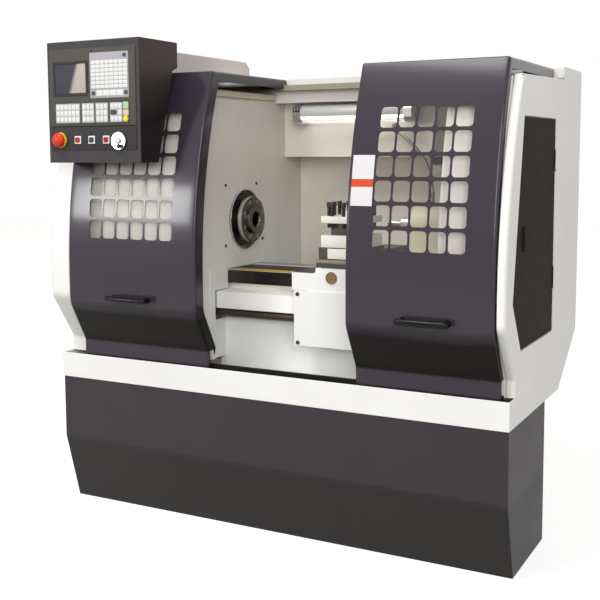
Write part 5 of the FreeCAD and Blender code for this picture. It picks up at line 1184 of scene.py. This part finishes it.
# ------------------------------------------------------------------ frame of the machine
# In all that follows, a profile gives the distance along its axis and the radius, in turn.
@dataclass(frozen=True)
class Enclosure:
    """Cabinet, tray, the fixed sheets round the work area, the beam and the rails."""

    plug: Numbers = (0.6, 0, -1.4, 0.01, -1.6, 3, -1, 5.5, 0.2, 6.4, 0.6, 6.4, 0.6, 0)
    screw: Numbers = (0, 0, 0, 5.4, 0.8, 5.8, 3, 5.4, 3.8, 4.4, 3.8, 2.4, 2, 2.2, 2, 0)
    plugs: Places = ((-658, -247, 449), (650, -247, 452))
    screws: Places = ((-275, -12, 1187), (-275, 207, 1188), (-275, -16, 967), (-275, 251, 974))
    seams: tuple[tuple[Numbers, Numbers], ...] = (
        ((-275, -34, 884), (-274, -31, 965)), ((-275, 384, 856), (-274, 387, 1231)))
    blocks: Rows = (            # name, corners, corner and edge radius, steps, finish
        ("wall_top_strip", (-275, -185, 1503), (-262, 350, 1527), 5.0, 3.0, 5, "strip_beige"),
        ("junction_block", (312, 545, 1218), (344, 575, 1254), 3.0, 1.5, 3, "cover_white"),
        ("junction_plug", (312, 545, 1254.5), (344, 575, 1281), 3.0, 1.5, 3, "screw_black"))

    def cabinet(self) -> None:
        """Makes the base cabinet, the tray on it and the plugs in the front plate."""
        softened("base_cabinet", "base_charcoal", 4.0, 3, 15.0)
        softened("chip_tray", "tray_white", 1.2)
        piece("cabinet_plugs", turned(self.plug, self.plugs, Axis.Y, 16), "plug_black")

    def build(self) -> None:
        """Dresses the sheets and makes the fittings on them."""
        softened("top_beam", "beam_white", 2.0)
        softened("rear_cover", "cover_white", 3.0, 3, 15.0)
        softened("carrier_housing", "housing_grey", 4.0, 3)
        softened("back_wall", "wall_grey")
        softened("headstock_wall", "partition_grey", 1.0)
        softened("door_rails", "beige_rail", 1.0)
        carried("front_panels", "panel_white")
        # Roof panels in a near-black colour: painted shade under the doors' top plates.
        carried("roof_panels", "roof_shade_dark")
        carried("access_hinges", "hinge_black")
        piece("wall_screws", turned(self.screw, self.screws, Axis.X, 14), "screw_black")
        piece("wall_seams", plates(self.seams, 0.4, 0.3, Axis.X, 2), "partition_grey")
        for name, low, high, corner, edge, steps, finish in self.blocks:
            piece(name, plate(low, high, corner, edge, Axis.Y, steps), finish)


# ------------------------------------------------------------------ bed and headstock
@dataclass(frozen=True)
class BedAndHead:
    """The cast bed with its ground ways, and the headstock with its spindle and drive."""

    centre: Numbers = (0, 122, 1057)
    nose: Numbers = (
        -784, 26, -784, 46, -700, 46, -700, 45, -650, 45, -650, 52, -360, 52, -360, 50, -300, 50,
        -300, 62, -257, 62, -257, 83.5, -255.5, 85, -250.5, 85, -249.5, 84, -247.5, 84, -246.5, 85,
        -239, 85, -237.4, 83.4, -237, 82, -237, 70, -236.2, 69, -236.2, 60.5, -237, 59.5,
        -237, 54.5, -236, 53.5, -227, 53, -225.4, 51.6, -225, 50, -225, 31, -231, 26, -784, 26)
    stud: Numbers = (0, 0, 0, 7.6, 0.6, 7.9, 1.2, 7.6, 1.4, 6.8, 1.4, 3.4, 0.5, 3, 0.5, 0)
    # band: a bright ring round the flange's side, partly turned steel and partly painted highlight.
    band: Numbers = (-255, 84, -255, 85.5, -250.6, 85.6, -250.4, 84.6, -246.6, 84.6, -246.4, 85.6,
                     -239.2, 85.6, -238.8, 84, -255, 84)
    # rim: a bright ring round the wall's hole, partly turned steel and partly painted highlight on
    # its edge.
    rim: Numbers = (-272, 108.5, -272, 111.5, -268.6, 111.5, -267.8, 110.6, -267.8, 109.4,
                    -268.6, 108.5, -272, 108.5)
    ring: Numbers = (-300, 63, -300, 99, -286, 99, -284.4, 97.4, -284, 96, -284, 72, -285.5, 70,
                     -285.5, 64, -286.5, 63, -300, 63)
    bolt: Numbers = (0, 0, 0, 6, 4.2, 6, 5, 5.2, 5, 3, 3, 2.8, 3, 0)
    tops: Places = (            # lowest X, highest X and front Y of each way
        (-225, 749.6, -9), (-714.6, -225.4, -9), (-714.6, 749.6, 202))
    front_faces: Pair = (-9.2, 253.2)   # Y of the ways' front faces
    sheets: Rows = (            # name, corners, corner and edge radius, axis, finish
        ("guard_sheet_front", (-271, 43, 878), (350, 62, 880), 1.0, 0.5, Axis.Z, "way_ground"),
        # a near-black sheet between the ways: painted shade
        ("shade_sheet_between_ways", (-271, 63, 876), (350, 201, 878), 1.0, 0.5, Axis.Z, "way_front"),
        ("sill_hem", (-264, -31.6, 514), (640, -28.6, 526), 0.8, 0.5, Axis.Y,
         "screw_cover_white"),
        # a black strip of painted shadow in the gap above the tray
        ("sill_shadow_strip", (-264, -30.4, 482), (640, -29.4, 514.5), 0.5, 0.3, Axis.Y, "plug_black"))

    def build(self) -> None:
        """Makes the bed, headstock and spindle and dresses the drive."""
        softened("bed", "bed_paint", 2.0)
        self.ways()
        softened("headstock_casting", "head_paint", 3.0, 3)
        studs = turned(self.stud, on_circle(self.centre, -237, 69, 8, 22.5), Axis.X, 16)
        nose, band, rim = (turned(line, self.centre, Axis.X, 96)
                           for line in (self.nose, self.band, self.rim))
        cap = turned(self.ring, self.centre, Axis.X, 72) + turned(
            self.bolt, on_circle(self.centre, -284, 88, 6, 0), Axis.X, 12)
        piece("spindle_nose", nose, "spindle_bright", node="spindle", angle=30.0)
        piece("nose_studs", studs, "stud_steel", "main_spindle", angle=30.0)
        # Bright rings on the nose and round the wall's hole: partly turned steel, partly painted
        # highlight.
        piece("nose_highlight_band", band, "polished_highlight", "main_spindle", angle=30.0)
        piece("wall_hole_highlight_rim", rim, "polished_highlight", angle=30.0)
        piece("bearing_ring", cap, "cap_steel", node="bearing_cap", angle=30.0)
        carried("spindle_bearings", "bearing_steel")
        carried("spindle_pulley", "pulley_iron")
        carried("motor_pulley", "pulley_iron")
        carried("drive_belt", "rubber_belt")
        softened("main_motor", "motor_grey", 2.0)

    def ways(self) -> None:
        """Makes the ground tops and dark fronts of the ways, the front guard sheet, a near-black
        sheet of painted shade between the ways, the sill's hem and a black strip of painted shadow
        under it.
        """
        tops = [((x0, y + 0.4, 880.5), (x1, y + 50.6, 882.2)) for x0, x1, y in self.tops]
        fronts = [((-714, y - 0.6, 833), (749, y + 0.6, 880.4)) for y in self.front_faces]
        piece("way_top_front", plates(tops[:1], 1.0, 0.6, Axis.Z, 2), "way_ground")
        piece("way_tops_plain", plates(tops[1:], 1.0, 0.6, Axis.Z, 2), "way_grey")
        piece("way_fronts", plates(fronts, 0.6, 0.5, Axis.Y, 2), "way_front")
        for name, low, high, corner, edge, axis, finish in self.sheets:
            piece(name, plate(low, high, corner, edge, axis, 2), finish)


# ------------------------------------------------------------------ carriage and tailstock
@dataclass(frozen=True)
class Carriage:
    """Saddle with its apron cover, cross slide, tool post and the screws that drive them."""

    post: Pair = (218.0, 10.0)  # X and Y of the tool post's middle
    half: float = 80.0
    core: float = 54.0
    head: float = 6.5
    screw_line: Pair = (-62.0, 736.0)
    pitch: float = 42.0         # between the tool post's bolts
    inset: float = 14.0         # from its side to their middle
    decks: tuple[Pair, ...] = ((983.5, 1024.5), (1066, 1089))   # the turret's two plates
    cover_screws: Places = ((78, -125, 661), (78, -125, 827), (318, -125, 661), (318, -125, 827))
    oil_cap: Numbers = (4, 0, 4, 20.5, 1.2, 20.5, 0.3, 19.8, 0, 18.6, 0, 16, 1.2, 15, 1.4, 5,
                        0.7, 4, 0.6, 0)
    shank: Numbers = (1049, 0, 1049, 5.2, 1051, 6, 1119, 6, 1119.4, 6.6, 1120, 6.6, 1120, 0)
    hub: Numbers = (1088, 0, 1088, 27.5, 1089.6, 26, 1101.4, 26, 1103, 24.4, 1103, 0)
    screw: Numbers = (0.4, 0, 0.4, 6.8, -1.4, 7.1, -4.2, 6.2, -4.8, 4.8, -4.8, 2.4, -3.4, 2.2,
                      -3.4, 0)

    def bolts(self) -> Surface:
        """Makes the square-headed clamp bolts with a collar under each head.

        Returns:
            All bolts.
        """
        inset, pitch = self.half - self.inset, self.pitch
        spots = sorted({(self.post[0] + a, self.post[1] + b) for s in (-1, 1) for k in (-1, 0, 1)
                        for a, b in ((s * inset, k * pitch), (k * pitch, s * inset))})
        return joined([turned(self.shank, (a, b, 0), Axis.Z, 12)
                       + self.block((a, b), self.head, 1120, 1136, 1.2, 1.4, Axis.Z, 2)
                       for a, b in spots])

    def block(self, middle: Numbers, half: float, low: float, high: float,
              *shape: object) -> Surface:
        """Makes a square block on a middle, between two heights, with a plate's roundings."""
        (x, y), h = middle, half
        return plate((x - h, y - h, low), (x + h, y + h, high), *shape)

    def turret(self) -> Surface:
        """Makes the turret's lower and top plates and the hub.

        Returns:
            The three closed solids.
        """
        plates_two = [self.block(self.post, self.half, low, high, 5.0, 1.4, Axis.Z)
                      for low, high in self.decks]
        return joined(plates_two) + turned(self.hub, (*self.post, 0), Axis.Z, 40)

    def ball_screw(self) -> Surface:
        """Makes the ball screw: radius 16 less 1.5 where the thread's groove runs.

        At distance s along X and angle t the groove's depth is a raised cosine of s / 10 mm - t.

        Returns:
            The threaded length and the plain ends.
        """
        y, z = self.screw_line
        s = np.arange(-655.0, 681.0, 2.5)[:, None]
        t = np.linspace(0, 2 * math.pi, 14, endpoint=False)
        radius = 16.0 - 1.5 * np.clip(np.cos(2 * math.pi * s / 10.0 - t), 0, 1) ** 2
        spots = np.broadcast_arrays(s, y + radius * np.cos(t), z + radius * np.sin(t))
        ends = [turned((a, 0, a, 12, b, 12, b, 0), (0, y, z), Axis.X, 20)
                for a, b in ((-655, -614.5), (720, 760))]
        return Surface.grid(np.stack(spots, axis=-1), wrap_columns=True) + joined(ends)

    def build(self) -> None:
        """Makes the carriage's pieces."""
        softened("saddle", "saddle_white", 1.8, 3)
        softened("apron_cover", "saddle_white", 1.2)
        screws = turned(self.screw, self.cover_screws, Axis.Y, 16)
        piece("cover_screws", screws, "screw_black", "carriage")
        step = plate((57, -119, 899), (130, 287, 900.8), 1.0, 0.5, Axis.Z, 2)
        piece("saddle_step_plate", step, "slide_iron", "carriage")
        oil_cap = turned(self.oil_cap, (204, -126, 888), Axis.Y, 40)
        piece("screw_end_cap", oil_cap, "cap_brass", node="oil_cap", angle=30.0)
        softened("cross_slide", "slide_iron")
        softened("tool_post_base", "post_dark")
        front = plate((168, -78, 946.5), (302, -75, 981), 1.5, 0.8, Axis.Y, 3)
        piece("post_base_front", front, "post_cream", "cross_carrier")
        piece("turret_plates", self.turret(), "post_cream", node="turret_block", angle=30.0)
        core = self.block(self.post, self.core, 1020, 1070, 3.0, 0.8, Axis.Z)
        piece("turret_core", core, "post_dark", "turret", angle=30.0)
        piece("post_bolts", self.bolts(), "bolt_black", node="clamp_bolts", angle=30.0)
        carried("z_nut", "stud_steel")
        carried("x_screw", "dark_screw")
        piece("ball_screw", self.ball_screw(), "dark_screw", node="z_screw", angle=60.0)
        softened("z_motor", "motor_grey", 2.0)
        softened("x_motor", "motor_grey", 2.0)
        softened("screw_cover", "screw_cover_white", 1.2)
        softened("tailstock_body", "tail_cream", 2.5, 3)
        softened("quill", "quill_steel", 0.8)
        softened("tailstock_centre", "quill_steel", 0.4, 1)
        softened("tailstock_handwheel", "handle_gloss_black", 1.0)


# ------------------------------------------------------------------ lamp and coolant
@dataclass(frozen=True)
class LampAndPipe:
    """Tube lamp under the beam and the coolant pipe beside it."""

    y: float = 392.0
    z: float = 1452.0
    radius: float = 33.0        # the reflector's
    arc: Pair = (-20.0, 200.0)  # from and to, in degrees
    length: Pair = (-164.0, 266.0)
    ends: Pair = (-196.0, 298.0)
    lights: Places = ((-166, 378, 1448), (-166, 404, 1444))
    cap: Numbers = (0, 0, 0, 36, 2, 39, 8, 39, 9, 37.6, 11, 37.6, 12, 39, 20, 39, 21, 37.6,
                    23, 37.6, 24, 39, 33, 39, 34, 38, 34, 35.5, 26, 35.5, 26, 0)
    light: Numbers = (0, 0, 0, 10, 3, 12, 431, 12, 434, 10, 434, 0)

    def build(self) -> None:
        """Makes the caps, the light tubes and the bent reflector, and dresses the rest."""
        carried("lamp_tube", "lamp_glass")
        caps = joined([turned(np.reshape(self.cap, (-1, 2)) * (turn, 1), (x, self.y, self.z),
                              Axis.X, 40) for turn, x in zip((1, -1), self.ends)])
        piece("lamp_end_caps", caps, "cap_chrome", node="lamp_caps", angle=30.0)
        piece("light_tubes", turned(self.light, self.lights, Axis.X, 20), "light_tube")
        angle = np.radians(np.linspace(*self.arc, 24))
        spots = np.stack(np.broadcast_arrays(
            np.linspace(*self.length, 3)[:, None], self.y + self.radius * np.cos(angle),
            self.z + self.radius * np.sin(angle)), axis=-1)
        piece("lamp_reflector", Surface.grid(spots), "reflector", wall=1.0, outward=(0, 0, 1))
        carried("coolant_pipe", "pipe_steel")


# ------------------------------------------------------------------ control box
@dataclass(frozen=True)
class ControlBox:
    """The control box with its two panel plates, keys, display, buttons and dial."""

    face: float = -388.0
    sides: Pair = (-752.0, -385.0)
    split: float = 1397.0
    bottom: float = 1317.0
    top: float = 1660.0
    buttons: Numbers = (-632.5, -572.5, -510.0)
    stop: Numbers = (-709, -388, 1351)
    dial: Numbers = (-456, -388, 1346)
    crank_place: Numbers = (-448, -388, 1329)
    knob_place: Numbers = (-425, -388, 1419)
    outline: Places = (         # Y and Z round the box's side
        (-383, 1275), (-383, 1683), (-167, 1683), (-167, 1602), (-196, 1589), (-288, 1275))
    groups: tuple[tuple[float, float, int], ...] = (    # lowest and highest X, and columns
        (-727, -621, 6), (-612, -559, 3), (-553, -500, 3), (-492, -440, 3))
    dark_keys: Places = ((-427, 1630), (-560, 1507), (-423, 1507))
    lone_keys: Rows = (         # name, sides, heights, how proud, finish
        ("strip_dark_keys", -489, -462, 1434, 1450, 2.2, "key_black"),
        ("strip_green_key", -437, -414, 1452, 1476, 1.9, "key_green"),
        ("strip_pink_key", -437, -414, 1430, 1450, 1.9, "key_pink"))
    screws: Places = ((-739, -388, 1653), (-568, -388, 1652), (-402, -388, 1653))
    knob: Numbers = (0.5, 0, 0.5, 10.5, -3.5, 10.5, -5.5, 9.6, -6.2, 8, -6.2, 0)
    mushroom: Numbers = (15, 0, 15, 11, -8.3, 11, -8.3, 21, -9.2, 23.2, -11.5, 24.4, -14, 24.5,
                         -17.5, 23.6, -21.5, 20.4, -24.5, 14.5, -25.9, 8, -26.3, 0)
    collar: Numbers = (0.2, 12, 0.2, 26.5, -2.2, 26.5, -3, 25.6, -3, 12, 0.2, 12)
    rim: Numbers = (0.2, 9, 0.2, 31.5, -3.2, 31.5, -4, 30.7, -4, 9, 0.2, 9)
    disc: Numbers = (15, 0, 15, 8, -4.3, 8, -4.3, 29, -4.8, 29.8, -6.4, 29.8, -7.3, 29, -7.3, 24.5,
                     -5.8, 23.5, -5.6, 10.5, -9, 10, -9.6, 9, -9.6, 0)
    crank: Numbers = (-5, 0, -5, 5.4, -10, 5.2, -16, 7, -18, 6.2, -18.3, 4.5, -18.3, 0)
    screw: Numbers = (0.5, 0, 0.5, 4, -0.8, 3.8, -1.6, 2.8, -1.6, 0)

    def flat(self, x0: float, x1: float, z0: float, z1: float, proud: float, depth: float = 1.2,
             corner: float = 2.0) -> Surface:
        """Makes a flat item on the panel.

        Args:
            x0: its left side.
            x1: its right side.
            z0: its lower side.
            z1: its upper side.
            proud: how far it stands out of the panel.
            depth: its thickness.
            corner: radius of its corners.

        Returns:
            The closed item.
        """
        front = self.face - proud
        return plate((x0, front, z0), (x1, front + depth, z1), corner, 0.35, Axis.Y, 2)

    def keys(self, sides: Numbers, heights: Numbers, columns: int, rows: int, proud: float = 1.8,
             gap: float = 1.8) -> Surface:
        """Fills a rectangle with even columns and rows of keys.

        Args:
            sides: lowest and highest X.
            heights: lowest and highest Z.
            columns: keys across.
            rows: keys up.
            proud: how far they stand out of the panel.
            gap: the distance between two keys.

        Returns:
            All keys.
        """
        x, z = np.linspace(*sides, columns + 1), np.linspace(*heights, rows + 1)
        half = gap / 2
        return joined([self.flat(a + half, b - half, c + half, d - half, proud, corner=1.5)
                       for a, b in zip(x, x[1:]) for c, d in zip(z, z[1:])])

    def ring(self, x: float, z: float, outer: Numbers, inner: Numbers, proud: float) -> Surface:
        """Makes a rectangular frame: its section is walked round from outer back to inner back.

        Args:
            x: its middle across.
            z: its middle's height.
            outer: half width and half height outside.
            inner: half width and half height inside.
            proud: how far it stands out of the panel.

        Returns:
            The closed frame.
        """
        ease = 0.5
        walk = ((outer, 0, 0), (outer, 0, ease - proud), (outer, ease, -proud),
                (inner, -ease, -proud), (inner, 0, ease - proud), (inner, 0, 0))
        rings = [placed(rounded_outline(half_x - inset, half_z - inset, 2.0, 3), y, Axis.Y)
                 for (half_x, half_z), inset, y in walk]
        return Surface.grid(np.array(rings) + (x, self.face, z), wrap_rows=True, wrap_columns=True)

    def shade_side_plate(self) -> Surface:
        """Carries the box side's outline over the thickness of a thin plate, which holds the
        painted shade of the box's side.

        A corner becomes points of (1-t)^2 a + 2t(1-t) corner + t^2 b, with a and b two
        millimetres away from it.

        Returns:
            The closed plate.
        """
        line = np.array(self.outline, float)
        corner, t = line[1:-1], np.linspace(0, 1, 4)[None, :, None]
        ways = [(end - corner) * np.minimum(0.5, 2 / np.linalg.norm(end - corner, axis=1))[:, None]
                for end in (line[:-2], line[2:])]
        a, b = ((corner + way)[:, None] for way in ways)
        curves = (1 - t) ** 2 * a + 2 * t * (1 - t) * corner[:, None] + t ** 2 * b
        flat = np.vstack((line[:1], curves.reshape(-1, 2), line[-1:]))
        return Surface.closed(np.stack([placed(flat, x, Axis.X) for x in (-371.0, -369.2)]))

    def key_pieces(self) -> None:
        """Makes the main keypad and the lower strip of keys with their coloured keys."""
        base = self.flat(-574, -412, 1491, 1643, 1.0, 2.0)
        piece("keypad_base", base, "keypad_lilac", node="keypads")
        keys = self.keys((-569, -416), (1522, 1617), 8, 7) + self.keys(
            (-548, -434), (1497, 1518), 4, 1)
        piece("keypad_keys", keys, "key_white")
        dark = [self.flat(x - 7, x + 7, z - 6, z + 6, 1.8) for x, z in self.dark_keys]
        piece("keypad_dark_keys", joined(dark), "key_black")
        piece("strip_base", self.flat(-731, -411, 1404, 1484, 0.8, 2.0), "key_black")
        cards = [self.flat(a, b, 1409, 1475, 1.3) for a, b, _ in self.groups]
        piece("strip_cards", joined(cards), "card_white")
        keys = [self.keys((a + 2, b - 2), (1411, 1473), n, 3, 1.9, 4.0) for a, b, n in self.groups]
        piece("strip_keys", joined(keys), "key_white")
        for name, *spot, finish in self.lone_keys:
            piece(name, self.flat(*spot), finish)
        piece("strip_yellow_knob", turned(self.knob, self.knob_place, Axis.Y, 24), "knob_yellow")

    def controls(self) -> None:
        """Makes the stop button's head, the dial, and their rings and bezels."""
        piece("stop_mushroom", turned(self.mushroom, self.stop, Axis.Y, 40), "mushroom_red",
              node="emergency_stop", angle=40.0)
        frames = [self.ring(x, self.stop[2], (13.5, 13.5), (8.6, 8.6), 3.0) for x in self.buttons]
        piece("button_bezels", joined(frames), "bezel_white", node="panel_bezels")
        piece("stop_collar", turned(self.collar, self.stop, Axis.Y, 40), "collar_yellow")
        piece("dial_collar", turned(self.rim, self.dial, Axis.Y, 48), "screw_black")
        piece("dial_disc", turned(self.disc, self.dial, Axis.Y, 56), "dial_chrome",
              node="hand_dial")
        crank = turned(self.crank, self.crank_place, Axis.Y, 20)
        piece("dial_crank", crank, "handle_gloss_black", "pulse_dial", angle=30.0)

    def build(self) -> None:
        """Makes the control box's pieces."""
        softened("control_box", "box_grey", 4.0, 3)
        # A thin plate over the box's side that carries its painted shade.
        piece("box_side_shade_plate", self.shade_side_plate(), "box_side_shade")
        left, right = self.sides
        upper, lower = (plate((left, self.face, z0), (right, self.face + 3, z1), 4.0, 0.8)
                        for z0, z1 in ((self.split + 1, self.top), (self.bottom, self.split - 1)))
        piece("upper_plate", upper, "upper_plate", node="panel_plate", angle=30.0)
        piece("lower_plate", lower, "lower_plate", angle=30.0)
        display = self.ring(-659.5, 1560, (76, 58.5), (67, 49.5), 2.5)
        piece("display_frame", display, "lower_plate")
        glass = self.flat(-728, -592, 1509, 1611, 0.8, 8.0)
        piece("display_glass", glass, "display_dark", node="screen")
        piece("panel_screws", turned(self.screw, self.screws, Axis.Y, 14), "screw_black")
        self.key_pieces()
        self.controls()
        softened("stop_button", "lens_red", 0.8)
        softened("start_button", "lens_green", 0.8)
        softened("hold_button", "lens_red", 0.8)


# ------------------------------------------------------------------ studio
@dataclass(frozen=True)
class Studio:
    """Floor, pale surroundings and soft lamps."""

    half: float = 14000.0       # half the floor's width
    floor_tones: tuple[Numbers, Numbers] = ((0.15, 0.15, 0.15, 1.0), (0.42, 0.42, 0.42, 1.0))
    floor_glow: float = 0.71
    world_tone: Numbers = (0.62, 0.60, 0.575, 1.0)
    lamps: Rows = (             # name, place, aim, width, height, power
        ("key_lamp", (-1.5, -3.2, 6.6), (0.0, 0.0, 0.9), 2.4, 2.4, 205.0),
        ("front_lamp", (3.3, -4.9, 2.9), (0.1, 0.0, 0.9), 3.0, 3.0, 162.0),
        ("left_lamp", (-3.5, -4.2, 1.9), (-0.4, -0.3, 1.2), 1.05, 0.85, 58.0))

    def seen(self, graph: Graph) -> Socket:
        """Gives 1 for rays from the camera, off a gloss or through glass, and 0 for others.

        Args:
            graph: the floor's or the surroundings' nodes.

        Returns:
            The output.
        """
        rays = graph.node("LightPath")
        bent = graph.math("MAXIMUM", rays["Is Glossy Ray"], rays["Is Transmission Ray"])
        return graph.math("MAXIMUM", rays["Is Camera Ray"], bent)

    def floor(self) -> None:
        """Makes the floor as a wide grid that is lit softly and keeps the object's shadow."""
        x = np.linspace(-self.half, self.half, 9)
        spots = np.stack(np.broadcast_arrays(x[None, :], x[:, None], 0.0), axis=-1)
        mesh = Surface.grid(spots).mesh("studio_floor")
        ground = in_scene("studio_floor", mesh)
        paper = bpy.data.materials.new("floor_paper")
        graph = Graph(paper, "Principled BSDF")
        seen = self.seen(graph)
        graph.fill(graph.shader, {
            "Base Color": graph.blend(seen, *self.floor_tones), "Roughness": 0.9,
            "Specular IOR Level": 0.1, "Emission Color": WHITE,
            "Emission Strength": graph.math("MULTIPLY", seen, self.floor_glow)})
        mesh.materials.append(paper)

    def world(self) -> None:
        """Makes the surroundings white to the eye and grey as a light."""
        world = bpy.context.scene.world = bpy.data.worlds.new("studio_world")
        graph = Graph(world, "Background")
        tone = graph.blend(self.seen(graph), self.world_tone, WHITE)
        graph.fill(graph.shader, {"Color": tone, "Strength": 1.0})

    def build(self) -> None:
        """Sets the floor, the surroundings and each lamp, turned to its aim."""
        self.floor()
        self.world()
        for name, place, aim, width, height, power in self.lamps:
            data = bpy.data.lights.new(name, "AREA")
            data.shape, data.energy = "RECTANGLE", power
            data.size, data.size_y = width, height
            lamp = in_scene(name, data)
            lamp.location = place
            lamp.rotation_euler = (Vector(aim) - Vector(place)).to_track_quat("-Z", "Y").to_euler()


# ------------------------------------------------------------------ assembly
def main() -> None:
    """Builds every sub-assembly in order."""
    logging.basicConfig(level=logging.INFO, format="%(message)s")
    bpy.context.scene.view_settings.view_transform = "Standard"
    PhotoCamera().build()
    Studio().build()
    Enclosure().cabinet()
    BedAndHead().build()
    Carriage().build()
    Enclosure().build()
    EndCover(-1, 88.0).build()
    EndCover(1, 28.0).build()
    SlidingDoor("left", -758.0, -213.0, 6, 1, -483.0).build()
    SlidingDoor("right", 342.0, 818.0, 5, -1, 605.0).build()
    LampAndPipe().build()
    ControlBox().build()


if __name__ == "__main__":
    main()
